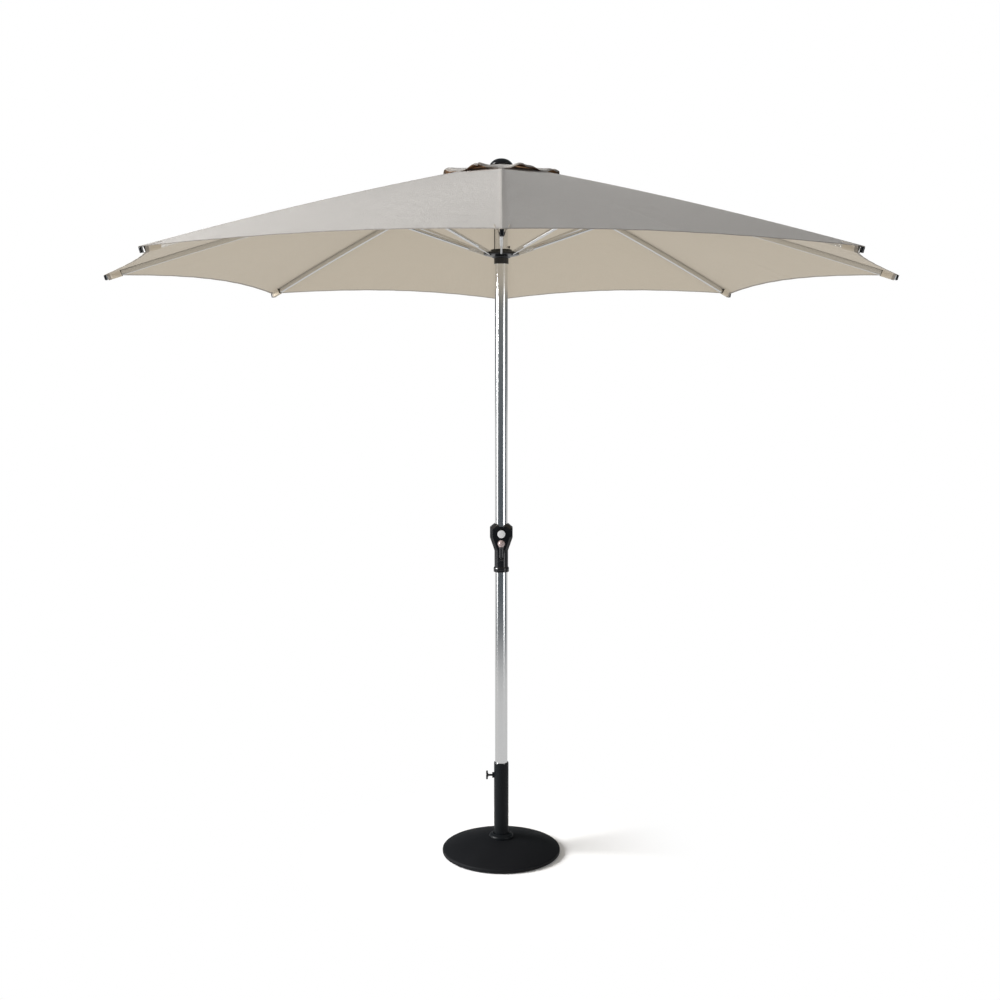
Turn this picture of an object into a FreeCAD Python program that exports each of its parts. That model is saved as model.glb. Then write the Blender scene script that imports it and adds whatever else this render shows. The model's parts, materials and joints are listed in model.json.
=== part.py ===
import FreeCAD, Part
import math
import os
import re
import Sketcher

# A crank parasol of eight ribs on a round concrete base. Millimetres and degrees, +Z up.
# The origin is the middle of the footprint, on the ground.

doc = FreeCAD.newDocument("Parasol")
sheet = doc.addObject("Spreadsheet::Sheet", "Dimensions")

dimensions = {
    # base
    "plate_radius": 231,
    "plate_height": 61,
    "plate_crown": 620,
    "rim_height": 17,
    "rim_lip": 6,
    "feet_count": 6,
    "foot_radius": 12,
    "foot_stand": 2,
    "foot_sink": 5,
    "feet_circle": 196,
    "recess_depth": 12,
    "flange_width": 26.5,
    "flange_thickness": 5,
    "bolt_count": 4,
    "bolt_inset": 13,
    "bolt_radius": 4,
    "bolt_length": 36,
    "bolt_head_radius": 7.2,
    "bolt_head_height": 5,
    "collar_width": 18.5,
    "collar_height": 17,
    "tube_wall": 2.5,
    "tube_top": 360,
    "liner_length": 110,
    "liner_wall": 1.6,
    "liner_lip": 2,
    # lock screw
    "screw_height": 310,
    "screw_radius": 4,
    "screw_reach": 20,
    "boss_radius": 11,
    "boss_length": 7,
    "knob_radius": 17,
    "knob_thickness": 9,
    "pad_thickness": 2,
    # pole
    "pole_diameter": 48,
    "pole_wall": 1.5,
    "lower_pole_length": 1103,
    "upper_pole_length": 1457,
    "plug_lip": 2.5,
    "plug_length": 28,
    "plug_wall": 3,
    "joiner_wall": 2,
    "joiner_reach": 75,
    "joiner_web": 3,
    "joiner_rim": 5.6,
    "joiner_skirt": 3,
    "joiner_shoulder": 14,
    # crank housing
    "crank_rise": 145,
    "housing_side": 19.5,
    "housing_half_depth": 30,
    "housing_shoulder": 22,
    "housing_ears": 36,
    "housing_waist": 15,
    "housing_taper": 64.5,
    "ear_side": 2.5,
    "ear_inside": 13,
    "neck_wall": 2.5,
    "housing_bevel": 11,
    "housing_screw_radius": 2.5,
    "housing_screw_inset": 16,
    "housing_screw_reach": 15,
    "housing_screw_rise": 14,
    # spool and crank
    "drum_radius": 12.5,
    "drum_width": 18,
    "spool_flange": 17,
    "spool_flange_width": 2,
    "shaft_radius": 5,
    "arm_length": 98,
    "arm_thickness": 10,
    "arm_hub_radius": 18,
    "arm_hub_stand": 4,
    "arm_belly": 36,
    "arm_belly_radius": 16,
    "arm_end_radius": 9.5,
    "cap_radius": 15,
    "cap_thickness": 2,
    "grip_stand": 6,
    "grip_length": 62,
    "grip_radius": 7.5,
    "grip_head_radius": 13.5,
    "grip_core_radius": 4,
    "grip_eye_radius": 5.5,
    "grip_pin_radius": 2,
    "ear_thickness": 3,
    # cord and pulley
    "cord_diameter": 2.6,
    "pulley_radius": 10,
    "pulley_rise": 24,
    "pulley_width": 7,
    "pulley_pin_radius": 3,
    # top hub and finial
    "hub_rise": 54,
    "hub_skirt": 18,
    "hub_wall": 6,
    "hub_pin_radius": 46,
    "hub_lug_radius": 56,
    "hub_lug_below": 12,
    "hub_lug_above": 12,
    "finial_radius": 42.5,
    "finial_height": 28,
    "finial_stem": 9,
    # ribs
    "rib_count": 8,
    "rib_slope": 15.4,
    "rib_length": 1494,
    "rib_bow": 13,
    "rib_width": 12,
    "rib_depth": 18,
    "rib_wall": 1.2,
    "rib_start": 9,
    "rib_cap_length": 9,
    "pin_radius": 2.5,
    "hub_pin_reach": 11,
    "pin_reach": 9,
    # struts and runner
    "strut_joint": 518,
    "strut_clear": 3,
    "strut_length": 508.8,
    "strut_diameter": 14,
    "strut_wall": 1.2,
    "tongue_thickness": 7,
    "lower_tongue": 62,
    "upper_tongue": 14,
    "tube_plug": 12,
    "bracket_wall": 2.5,
    "bracket_length": 30,
    "runner_pin_radius": 62,
    "runner_radius": 67,
    "runner_block_radius": 41,
    "runner_block_above": 15,
    "runner_wall": 3.2,
    "runner_sleeve_below": 38,
    "runner_flange": 7,
    "runner_dish": 13,
    "notch_play": 0.8,
    "knob_stem_radius": 1.6,
    "knob_ball_radius": 3.6,
    "knob_stand": 10,
    # canopy
    "hem_overhang": 13.64,
    "canopy_opening": 110,
    "hem_inset": 72,
    "fabric_thickness": 1.2,
    "fabric_gap": 1.2,
    "vent_radius": 222,
    "vent_opening": 60,
    "vent_lift": 3,
    "vent_inset": 4,
    "seam_gap": 0.4,
    # clearances
    "seat_gap": 0.3,
    "running_gap": 0.05,
    "push_gap": 0.1,
    "side_gap": 0.5,
}


def add_cell(row, name, number):
    sheet.set("A%d" % row, name)
    sheet.set("B%d" % row, str(number))
    sheet.setAlias("B%d" % row, name)


for row, name in enumerate(dimensions, 1):
    add_cell(row, name, dimensions[name])
doc.recompute()

UP = FreeCAD.Vector(0, 0, 1)
ACROSS = FreeCAD.Vector(0, 1, 0)
OUT = FreeCAD.Vector(1, 0, 0)
parts = []


# ---------------------------------------------------------------- helpers

# Words that are cell names become references to the sheet.
def bound(text):
    def reference(word):
        return "Dimensions." + word[0] if word[0] in dimensions else word[0]

    return re.sub(r"[a-z][a-z_]*", reference, text)


def value(text):
    return float(sheet.evalExpression(bound(text)))


def bind(owner, path, text):
    owner.setExpression(path, bound(text))


# The sub-part takes the name of its file, and its place in the parasol.
def finish_part(thing, label, place=FreeCAD.Placement()):
    thing.Label = label
    thing.Placement = place
    parts.append(thing)
    return thing


def at(x, y, z, axis=UP, angle=0):
    return FreeCAD.Placement(FreeCAD.Vector(x, y, z), FreeCAD.Rotation(axis, angle))


def new_body(name):
    return doc.addObject("PartDesign::Body", name)


def origin_feature(body, role):
    return next(item for item in body.Origin.OriginFeatures if item.Role == role)


def new_sketch(body, role="XZ_Plane", offset=None):
    sketch = body.newObject("Sketcher::SketchObject", body.Name + "_sketch")
    sketch.AttachmentSupport = (origin_feature(body, role), [""])
    sketch.MapMode = "FlatFace"
    if offset:
        bind(sketch, "AttachmentOffset.Base.z", offset)
    return sketch


def tie(sketch, kind, geometry, place, text):
    if kind == "Radius":
        index = sketch.addConstraint(Sketcher.Constraint(kind, geometry, value(text)))
    else:
        index = sketch.addConstraint(Sketcher.Constraint(kind, -1, 1, geometry, place, value(text)))
    bind(sketch, "Constraints[%d]" % index, text)


# A closed outline. Each corner is (across, up), or (across, up, radius) where the edge that
# leaves it is an arc: its middle bulges to the right of the way the outline runs.
def draw(sketch, corners):
    start = sketch.GeometryCount
    points = [FreeCAD.Vector(value(c[0]), value(c[1]), 0) for c in corners]
    for number, corner in enumerate(corners):
        here = points[number]
        there = points[(number + 1) % len(points)]
        if len(corner) == 2:
            sketch.addGeometry(Part.LineSegment(here, there))
            continue
        chord = there - here
        radius = value(corner[2])
        reach = math.sqrt(radius ** 2 - (chord.Length / 2) ** 2)
        side = FreeCAD.Vector(-chord.y, chord.x, 0).normalize()
        centre = here + chord * 0.5 + side * reach
        first = math.atan2(here.y - centre.y, here.x - centre.x)
        last = math.atan2(there.y - centre.y, there.x - centre.x)
        sketch.addGeometry(Part.ArcOfCircle(Part.Circle(centre, UP, radius), first, last))
    for number, corner in enumerate(corners):
        geometry = start + number
        before = start + (number - 1) % len(corners)
        sketch.addConstraint(Sketcher.Constraint("Coincident", before, 2, geometry, 1))
        tie(sketch, "DistanceX", geometry, 1, corner[0])
        tie(sketch, "DistanceY", geometry, 1, corner[1])
        if len(corner) == 3:
            tie(sketch, "Radius", geometry, 1, corner[2])


def draw_circle(sketch, across, up, radius):
    centre = FreeCAD.Vector(value(across), value(up), 0)
    geometry = sketch.addGeometry(Part.Circle(centre, UP, value(radius)))
    tie(sketch, "DistanceX", geometry, 3, across)
    tie(sketch, "DistanceY", geometry, 3, up)
    tie(sketch, "Radius", geometry, 1, radius)


# A piece turned about its own Z axis, from its outline in the XZ plane.
def turned(name, corners):
    body = new_body(name)
    sketch = new_sketch(body)
    draw(sketch, corners)
    spin = body.newObject("PartDesign::Revolution", name + "_turned")
    spin.Profile = sketch
    spin.ReferenceAxis = (sketch, ["V_Axis"])
    spin.Angle = 360
    return body


def ring(name, inside, outside, low, high):
    return turned(name, [(inside, low), (outside, low), (outside, high), (inside, high)])


def rod(name, radius, low, high):
    return ring(name, "0", radius, low, high)


def pad(body, sketch, length, both_ways=False):
    feature = body.newObject("PartDesign::Pad", body.Name + "_pad")
    feature.Profile = sketch
    bind(feature, "Length", length)
    feature.Midplane = both_ways
    return feature


def pocket(body, sketch, length, both_ways=False, reversed_way=False):
    feature = body.newObject("PartDesign::Pocket", body.Name + "_pocket")
    feature.Profile = sketch
    bind(feature, "Length", length)
    feature.Midplane = both_ways
    feature.Reversed = reversed_way
    return feature


# The body's last feature, repeated round its Z axis.
def round_pattern(body, feature, count):
    pattern = body.newObject("PartDesign::PolarPattern", body.Name + "_pattern")
    pattern.Originals = [feature]
    pattern.Axis = (origin_feature(body, "Z_Axis"), [""])
    pattern.Angle = 360
    bind(pattern, "Occurrences", count)
    body.Tip = pattern
    return pattern


# A hole right through the body, along the normal of the plane that it is drawn on.
def through_hole(body, role, across, up, radius, length):
    sketch = new_sketch(body, role)
    draw_circle(sketch, across, up, radius)
    return pocket(body, sketch, length, both_ways=True)


# The arc of a half-round end is a hair wider than its chord, so that it has a middle to turn to.
HALF_ROUND = " + 0.001"


def rectangle(low_x, low_y, high_x, high_y):
    return [(low_x, low_y), (high_x, low_y), (high_x, high_y), (low_x, high_y)]


def grouped(name, pieces):
    group = doc.addObject("Part::Compound", name)
    group.Links = pieces
    return group


# ---------------------------------------------------------------- base

POLE = "pole_diameter / 2"
BORE = POLE + " - pole_wall"
TUBE_BORE = POLE + " + seat_gap + liner_wall + push_gap"
TUBE = TUBE_BORE + " + tube_wall"
FLANGE = TUBE + " + flange_width"
BOLTS = FLANGE + " - bolt_inset"
COLLAR = TUBE + " + collar_width"
FLOOR = "foot_stand + recess_depth"


def make_base_plate():
    body = turned("base_plate", [
        (TUBE + " + seat_gap", FLOOR),
        (FLANGE + " + seat_gap", FLOOR),
        (FLANGE + " + seat_gap", "foot_stand"),
        ("plate_radius - 5", "foot_stand", "6"),
        ("plate_radius", "foot_stand + 5"),
        ("plate_radius", "rim_height - 4", "5"),
        ("plate_radius - rim_lip / 2", "rim_height + 1.5", "5"),
        ("plate_radius - rim_lip", "rim_height + 3", "plate_crown"),
        (COLLAR + " + 2", "plate_height"),
        (TUBE + " + seat_gap", "plate_height"),
    ])
    sketch = new_sketch(body, "XY_Plane", "foot_stand")
    draw_circle(sketch, "feet_circle", "0", "foot_radius + seat_gap")
    round_pattern(body, pocket(body, sketch, "foot_sink", reversed_way=True), "feet_count")
    sketch = new_sketch(body, "XY_Plane", FLOOR)
    draw_circle(sketch, BOLTS, "0", "bolt_radius + running_gap")
    holes = pocket(body, sketch, "bolt_length - flange_thickness", reversed_way=True)
    round_pattern(body, holes, "bolt_count")
    return finish_part(body, "base_plate")


# The tube is welded to a round flange under the concrete, and carries the lock screw's nut.
def make_base_tube():
    body = turned("base_tube", [
        ("0", FLOOR + " - flange_thickness"),
        (FLANGE, FLOOR + " - flange_thickness"),
        (FLANGE, FLOOR),
        (TUBE, FLOOR),
        (TUBE, "tube_top"),
        (TUBE_BORE, "tube_top"),
        (TUBE_BORE, FLOOR),
        ("0", FLOOR),
    ])
    sketch = new_sketch(body, "YZ_Plane")
    draw_circle(sketch, "0", "screw_height", "boss_radius")
    boss = pad(body, sketch, TUBE + " + boss_length")
    boss.Reversed = True
    sketch = new_sketch(body, "XY_Plane", "tube_top")
    draw_circle(sketch, "0", "0", TUBE_BORE)
    pocket(body, sketch, "tube_top - foot_stand - recess_depth")
    sketch = new_sketch(body, "YZ_Plane")
    draw_circle(sketch, "0", "screw_height", "screw_radius + running_gap")
    pocket(body, sketch, "2 * (" + TUBE + ")")
    sketch = new_sketch(body, "XY_Plane", FLOOR)
    draw_circle(sketch, BOLTS, "0", "bolt_radius + running_gap")
    round_pattern(body, pocket(body, sketch, "flange_thickness"), "bolt_count")
    return finish_part(body, "base_tube")


def make_base_small_parts():
    collar = turned("base_collar", [
        (TUBE + " + seat_gap", "plate_height"),
        (COLLAR + " - 1", "plate_height"),
        (COLLAR, "plate_height + 1"),
        (COLLAR, "plate_height + 5", "11"),
        (COLLAR + " - 9", "plate_height + collar_height - 3"),
        (TUBE + " + 5", "plate_height + collar_height", "7"),
        (TUBE + " + seat_gap", "plate_height + collar_height - 4"),
    ])
    finish_part(collar, "base_collar")

    feet = new_body("base_feet")
    sketch = new_sketch(feet, "XY_Plane")
    draw_circle(sketch, "feet_circle", "0", "foot_radius")
    round_pattern(feet, pad(feet, sketch, "foot_stand + foot_sink"), "feet_count")
    finish_part(feet, "base_feet")

    bolts = new_body("anchor_bolts")
    sketch = new_sketch(bolts, "XZ_Plane")
    low = FLOOR + " - flange_thickness"
    draw(sketch, [
        (BOLTS, low + " - bolt_head_height"),
        (BOLTS + " + bolt_head_radius - 1", low + " - bolt_head_height"),
        (BOLTS + " + bolt_head_radius", low + " - bolt_head_height + 1"),
        (BOLTS + " + bolt_head_radius", low),
        (BOLTS + " + bolt_radius", low),
        (BOLTS + " + bolt_radius", low + " + bolt_length - 2"),
        (BOLTS, low + " + bolt_length - 2"),
    ])
    spin = bolts.newObject("PartDesign::Revolution", "anchor_bolts_turned")
    spin.Profile = sketch
    spin.ReferenceAxis = (sketch, ["Edge7"])
    spin.Angle = 360
    round_pattern(bolts, spin, "bolt_count")
    finish_part(bolts, "anchor_bolts")

    liner = turned("tube_sleeve", [
        (POLE + " + seat_gap", "tube_top - liner_length"),
        (TUBE_BORE + " - push_gap", "tube_top - liner_length"),
        (TUBE_BORE + " - push_gap", "tube_top"),
        (TUBE + " - 0.6", "tube_top"),
        (TUBE + " - 1", "tube_top + liner_lip"),
        (POLE + " + seat_gap", "tube_top + liner_lip"),
    ])
    sketch = new_sketch(liner, "YZ_Plane")
    draw_circle(sketch, "0", "screw_height", "screw_radius + 0.4")
    pocket(liner, sketch, "2 * (" + TUBE + ")")
    finish_part(liner, "tube_sleeve")


# The pad, the screw and its knob share one axis, modelled along their own +Z, outwards.
def make_lock():
    place = at(0, 0, value("screw_height"), ACROSS, -90)
    lock_pad = rod("lock_pad", "screw_radius - 0.2", POLE + " + running_gap",
                   POLE + " + running_gap + pad_thickness")
    finish_part(lock_pad, "lock_pad", place)
    tip = POLE + " + running_gap + pad_thickness"
    knob_low = TUBE + " + boss_length + screw_reach - 5"
    screw = turned("lock_screw", [
        ("0", tip),
        ("screw_radius - 0.8", tip),
        ("screw_radius", tip + " + 0.8"),
        ("screw_radius", knob_low),
        ("screw_radius - 1", knob_low),
        ("screw_radius - 1", knob_low + " + knob_thickness - 2"),
        ("0", knob_low + " + knob_thickness - 2"),
    ])
    finish_part(screw, "lock_screw", place)
    knob = turned("lock_knob", [
        ("screw_radius - 1 + running_gap", knob_low),
        ("knob_radius * 0.45", knob_low),
        ("knob_radius * 0.45", knob_low + " + 2"),
        ("knob_radius - 2", knob_low + " + 2", "2.2"),
        ("knob_radius", knob_low + " + 4"),
        ("knob_radius", knob_low + " + knob_thickness - 2", "2.2"),
        ("knob_radius - 2", knob_low + " + knob_thickness"),
        ("0", knob_low + " + knob_thickness"),
        ("0", knob_low + " + knob_thickness - 2 + running_gap"),
        ("screw_radius - 1 + running_gap", knob_low + " + knob_thickness - 2 + running_gap"),
    ])
    sketch = new_sketch(knob, "XY_Plane")
    draw_circle(sketch, "knob_radius + 3.5", "0", "5")
    grooves = pocket(knob, sketch, "200", both_ways=True)
    bind(grooves, "Length", "4 * (" + knob_low + " + knob_thickness)")
    round_pattern(knob, grooves, "8")
    finish_part(knob, "lock_knob", place)


# ---------------------------------------------------------------- pole

POLE_FOOT = FLOOR + " + seat_gap"
LOWER_TOP = POLE_FOOT + " + plug_lip + lower_pole_length"
UPPER_LOW = LOWER_TOP + " + joiner_web"
POLE_TOP = UPPER_LOW + " + upper_pole_length"
CRANK_HEIGHT = UPPER_LOW + " + crank_rise"
HUB_PIN = POLE_TOP + " + hub_rise"


def make_poles():
    lower = ring("lower_pole", BORE, POLE, "0", "lower_pole_length")
    finish_part(lower, "lower_pole", at(0, 0, value(POLE_FOOT + " + plug_lip")))

    upper = ring("upper_pole", BORE, POLE, "0", "upper_pole_length")
    through_hole(upper, "XZ_Plane", "0", "crank_rise", "shaft_radius + running_gap", "2 * pole_diameter")
    finish_part(upper, "upper_pole", at(0, 0, value(UPPER_LOW)))

    plug = turned("pole_foot_cap", [
        ("0", "0"),
        (POLE + " - 1.5", "0"),
        (POLE, "1.5"),
        (POLE, "plug_lip"),
        (BORE + " - push_gap", "plug_lip"),
        (BORE + " - push_gap", "plug_lip + plug_length"),
        (BORE + " - plug_wall", "plug_lip + plug_length"),
        (BORE + " - plug_wall", "plug_lip"),
        ("0", "plug_lip"),
    ])
    finish_part(plug, "pole_foot_cap", at(0, 0, value(POLE_FOOT)))

    # The joiner is a sleeve inside both tubes, with a flared ring that they butt against.
    outside = POLE + " + push_gap"
    rim = POLE + " + joiner_rim"
    joiner = turned("pole_joiner", [
        (BORE + " - push_gap - joiner_wall", "-joiner_reach"),
        (BORE + " - push_gap", "-joiner_reach"),
        (BORE + " - push_gap", "0"),
        (outside, "0"),
        (outside, "-joiner_skirt"),
        (rim + " - 1.6", "-joiner_skirt", "3"),
        (rim, "0"),
        (rim, "joiner_web + 2", "12"),
        (POLE + " + neck_wall", "joiner_web + joiner_shoulder"),
        (outside, "joiner_web + joiner_shoulder"),
        (outside, "joiner_web"),
        (BORE + " - push_gap", "joiner_web"),
        (BORE + " - push_gap", "joiner_web + joiner_reach"),
        (BORE + " - push_gap - joiner_wall", "joiner_web + joiner_reach"),
    ])
    finish_part(joiner, "pole_joiner", at(0, 0, value(LOWER_TOP)))


# ---------------------------------------------------------------- crank housing

HOUSING = POLE + " + housing_side"
EAR = POLE + " + ear_side"
HOUSING_SCREWS = HOUSING + " - housing_screw_inset"

# The edges of a half's face that lie outside its ears, on either side.
def is_outer_edge(box):
    on_face = abs(box.YMin + value("housing_half_depth")) < 0.01 and box.YLength < 0.01
    reach = max(abs(box.XMin), abs(box.XMax))
    return on_face and reach > value(EAR) + 1 and box.XMin * box.XMax > 0


# Two equal moulded halves meet round the pole; z is counted from the crank's axis.
def make_housing_half(label, turn, screw_depth):
    body = new_body(label)
    sketch = new_sketch(body)
    low = "-housing_taper"
    draw(sketch, [
        ("-(" + POLE + " + neck_wall)", low),
        (POLE + " + neck_wall", low),
        (HOUSING, "-housing_waist"),
        (HOUSING, "housing_shoulder"),
        (EAR, "housing_ears"),
        ("ear_inside", "housing_ears - 9"),
        ("-ear_inside", "housing_ears - 9"),
        ("-(" + EAR + ")", "housing_ears"),
        ("-(" + HOUSING + ")", "housing_shoulder"),
        ("-(" + HOUSING + ")", "-housing_waist"),
    ])
    shell = pad(body, sketch, "housing_half_depth")
    doc.recompute()
    front = ["Edge%d" % (number + 1) for number, edge in enumerate(shell.Shape.Edges)
             if is_outer_edge(edge.BoundBox)]
    bevel = body.newObject("PartDesign::Chamfer", label + "_bevel")
    bevel.Base = (shell, front)
    bind(bevel, "Size", "min(housing_bevel; 0.5 * housing_half_depth)")

    neck = new_sketch(body, "XY_Plane", "joiner_shoulder - crank_rise")
    wide = POLE + " + neck_wall"
    draw(neck, [("-(" + wide + ")", "0", wide + HALF_ROUND), (wide, "0")])
    pad(body, neck, "crank_rise - joiner_shoulder - housing_taper + 4")

    bore = new_sketch(body, "XY_Plane")
    draw_circle(bore, "0", "0", POLE + " + push_gap")
    pocket(body, bore, "4 * crank_rise", both_ways=True)
    boss = new_sketch(body, "XZ_Plane", "housing_half_depth")
    draw_circle(boss, "0", "0", "arm_hub_radius")
    pad(body, boss, "2")
    through_hole(body, "XZ_Plane", "0", "0", "shaft_radius + running_gap", "4 * housing_half_depth")
    for across in (HOUSING_SCREWS, "-(" + HOUSING_SCREWS + ")"):
        for rise in ("housing_screw_rise", "-housing_waist + 7"):
            through_hole(body, "XZ_Plane", across, rise, "housing_screw_radius + running_gap",
                         "2 * (" + screw_depth + ")")
    return finish_part(body, label, at(0, 0, value(CRANK_HEIGHT), UP, turn))


def make_housing_screws():
    face = "housing_half_depth"
    screws = []
    for side in (1, -1):
        for rise in ("housing_screw_rise", "-housing_waist + 7"):
            screw = turned("housing_screw", [
                ("0", "-housing_screw_reach"),
                ("housing_screw_radius", "-housing_screw_reach"),
                ("housing_screw_radius", face),
                ("housing_screw_radius * 1.9", face),
                ("housing_screw_radius * 1.9", face + " + 1.4", "6"),
                ("1", face + " + 2.6"),
                ("0", face + " + 2.6"),
            ])
            screw.Placement = at(side * value(HOUSING_SCREWS), 0, value(rise), OUT, -90)
            screws.append(screw)
    finish_part(grouped("housing_screws", screws), "housing_screws", at(0, 0, value(CRANK_HEIGHT)))


# ---------------------------------------------------------------- spool and crank

ARM_BACK = "housing_half_depth + 2 + seat_gap + 1"
ARM_FRONT = ARM_BACK + " + arm_thickness"
GRIP_AXIS = ARM_FRONT + " + grip_stand"


# Modelled along +Z, which points to the front once it is placed.
def crank_place():
    return at(0, 0, value(CRANK_HEIGHT), OUT, 90)


def make_spool():
    half = "drum_width / 2"
    spool = turned("spool", [
        ("0", "-housing_half_depth"),
        ("shaft_radius", "-housing_half_depth"),
        ("shaft_radius", "-" + half + " - spool_flange_width"),
        ("spool_flange", "-" + half + " - spool_flange_width"),
        ("spool_flange", "-" + half),
        ("drum_radius", "-" + half),
        ("drum_radius", half),
        ("spool_flange", half),
        ("spool_flange", half + " + spool_flange_width"),
        ("shaft_radius", half + " + spool_flange_width"),
        ("shaft_radius", ARM_BACK + " + 6"),
        ("0", ARM_BACK + " + 6"),
    ])
    finish_part(spool, "spool", crank_place())
    turns = ring("spool_cord", "drum_radius", "drum_radius + cord_diameter",
                 "-" + half + " + 0.2", half + " - 0.2")
    finish_part(turns, "spool_cord", crank_place())


# The arm hangs from its hub. Its front is hollowed so that the folded grip lies in it.
def make_crank_arm():
    body = new_body("crank_arm")
    hub = "arm_hub_radius"
    end = "arm_end_radius"
    belly = "arm_belly_radius"
    sketch = new_sketch(body, "XZ_Plane", ARM_BACK)
    draw(sketch, [
        (hub, "0", hub + HALF_ROUND),
        ("-" + hub, "0"),
        ("-" + belly, "-arm_belly"),
        ("-" + end, "-arm_length", end + HALF_ROUND),
        (end, "-arm_length"),
        (belly, "-arm_belly"),
    ])
    pad(body, sketch, "arm_thickness")
    sketch = new_sketch(body, "XZ_Plane", ARM_BACK)
    draw_circle(sketch, "0", "0", hub + " - 0.6")
    pad(body, sketch, "arm_thickness + arm_hub_stand")
    sketch = new_sketch(body, "XZ_Plane", ARM_FRONT + " + arm_hub_stand - cap_thickness")
    draw_circle(sketch, "0", "0", "cap_radius + 0.2")
    pocket(body, sketch, "cap_thickness * 2", reversed_way=True)
    sketch = new_sketch(body, "XZ_Plane", ARM_BACK)
    draw_circle(sketch, "0", "0", "shaft_radius + running_gap")
    pocket(body, sketch, "6.1", reversed_way=True)

    # the hollow: a round dish for the head and a trough for the stem
    floor = new_sketch(body, "XZ_Plane", ARM_BACK + " + 2.3")
    draw_circle(floor, "0", "-arm_length + grip_length", "grip_head_radius + 0.7")
    pocket(body, floor, "arm_thickness * 2", reversed_way=True)
    floor = new_sketch(body, "XZ_Plane", ARM_BACK + " + 2.3")
    trough = "grip_radius + 0.8"
    draw(floor, rectangle("-(" + trough + ")", "-arm_length - 2 * arm_end_radius", trough,
                          "-arm_length + grip_length"))
    pocket(body, floor, "arm_thickness * 2", reversed_way=True)

    # two ears carry the grip's cross pin
    inside = "grip_eye_radius + side_gap"
    for side in ("", "-"):
        ear = new_sketch(body, "YZ_Plane", side + "(" + inside + ")")
        draw(ear, [
            ("-(" + ARM_BACK + ")", "-arm_length - grip_eye_radius"),
            ("-(" + ARM_BACK + ")", "-arm_length + grip_eye_radius + 1"),
            ("-(" + GRIP_AXIS + ")", "-arm_length + grip_eye_radius", "grip_eye_radius" + HALF_ROUND),
            ("-(" + GRIP_AXIS + ")", "-arm_length - grip_eye_radius"),
        ])
        cheek = pad(body, ear, "ear_thickness")
        cheek.Reversed = side == "-"
    pin = new_sketch(body, "YZ_Plane")
    draw_circle(pin, "-(" + GRIP_AXIS + ")", "-arm_length", "grip_pin_radius + running_gap")
    pocket(body, pin, "8 * grip_eye_radius", both_ways=True)
    return finish_part(body, "crank_arm", at(0, 0, value(CRANK_HEIGHT)))


def make_hub_cap():
    cap = turned("hub_cap", [
        ("0", "0"),
        ("cap_radius", "0"),
        ("cap_radius", "cap_thickness - 0.5"),
        ("cap_radius - 0.8", "cap_thickness", "60"),
        ("2", "cap_thickness + 0.8"),
        ("0", "cap_thickness + 0.8"),
    ])
    front = value(ARM_FRONT + " + arm_hub_stand - cap_thickness")
    finish_part(cap, "hub_cap", at(0, -front, value(CRANK_HEIGHT), OUT, 90))


# The grip stands on its cross pin, along its own +Z, and folds up into the arm.
def make_grip():
    place = at(0, -value(GRIP_AXIS), value(CRANK_HEIGHT + " - arm_length"))
    body = new_body("grip_core")
    eye = new_sketch(body, "YZ_Plane")
    draw_circle(eye, "0", "0", "grip_eye_radius")
    pad(body, eye, "2 * grip_eye_radius", both_ways=True)
    cross = new_sketch(body, "YZ_Plane")
    draw_circle(cross, "0", "0", "grip_pin_radius")
    pad(body, cross, "2 * (grip_eye_radius + side_gap + ear_thickness)", both_ways=True)
    stem = new_sketch(body, "XY_Plane")
    draw_circle(stem, "0", "0", "grip_core_radius")
    pad(body, stem, "grip_length")
    finish_part(body, "grip_core", place)

    low = "grip_eye_radius + 2.5"
    sleeve = turned("grip_sleeve", [
        ("grip_core_radius + running_gap", low),
        ("grip_radius - 1", low),
        ("grip_radius", low + " + 1"),
        ("grip_radius", "grip_length - 18", "24"),
        ("grip_head_radius - 4", "grip_length - 9.5", "grip_head_radius"),
        ("grip_head_radius", "grip_length", "grip_head_radius"),
        ("0", "grip_length + grip_head_radius"),
        ("0", "grip_length + running_gap"),
        ("grip_core_radius + running_gap", "grip_length + running_gap"),
    ])
    finish_part(sleeve, "grip_sleeve", place)


# ---------------------------------------------------------------- top hub

RIB_STEP = 360 / value("rib_count")
CORD_OUT = "pole_diameter / 2 + cord_diameter / 2 + seat_gap"
PULLEY_ACROSS = CORD_OUT + " - pulley_radius"
PULLEY_HEIGHT = POLE_TOP + " + pulley_rise"


def radial_slot(body, inner, outer, width, low, high):
    sketch = new_sketch(body, "XY_Plane", high)
    half = "(" + width + ") / 2"
    draw(sketch, rectangle(inner, "-" + half, outer, half))
    return round_pattern(body, pocket(body, sketch, "(" + high + ") - (" + low + ")"), "rib_count")


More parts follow.
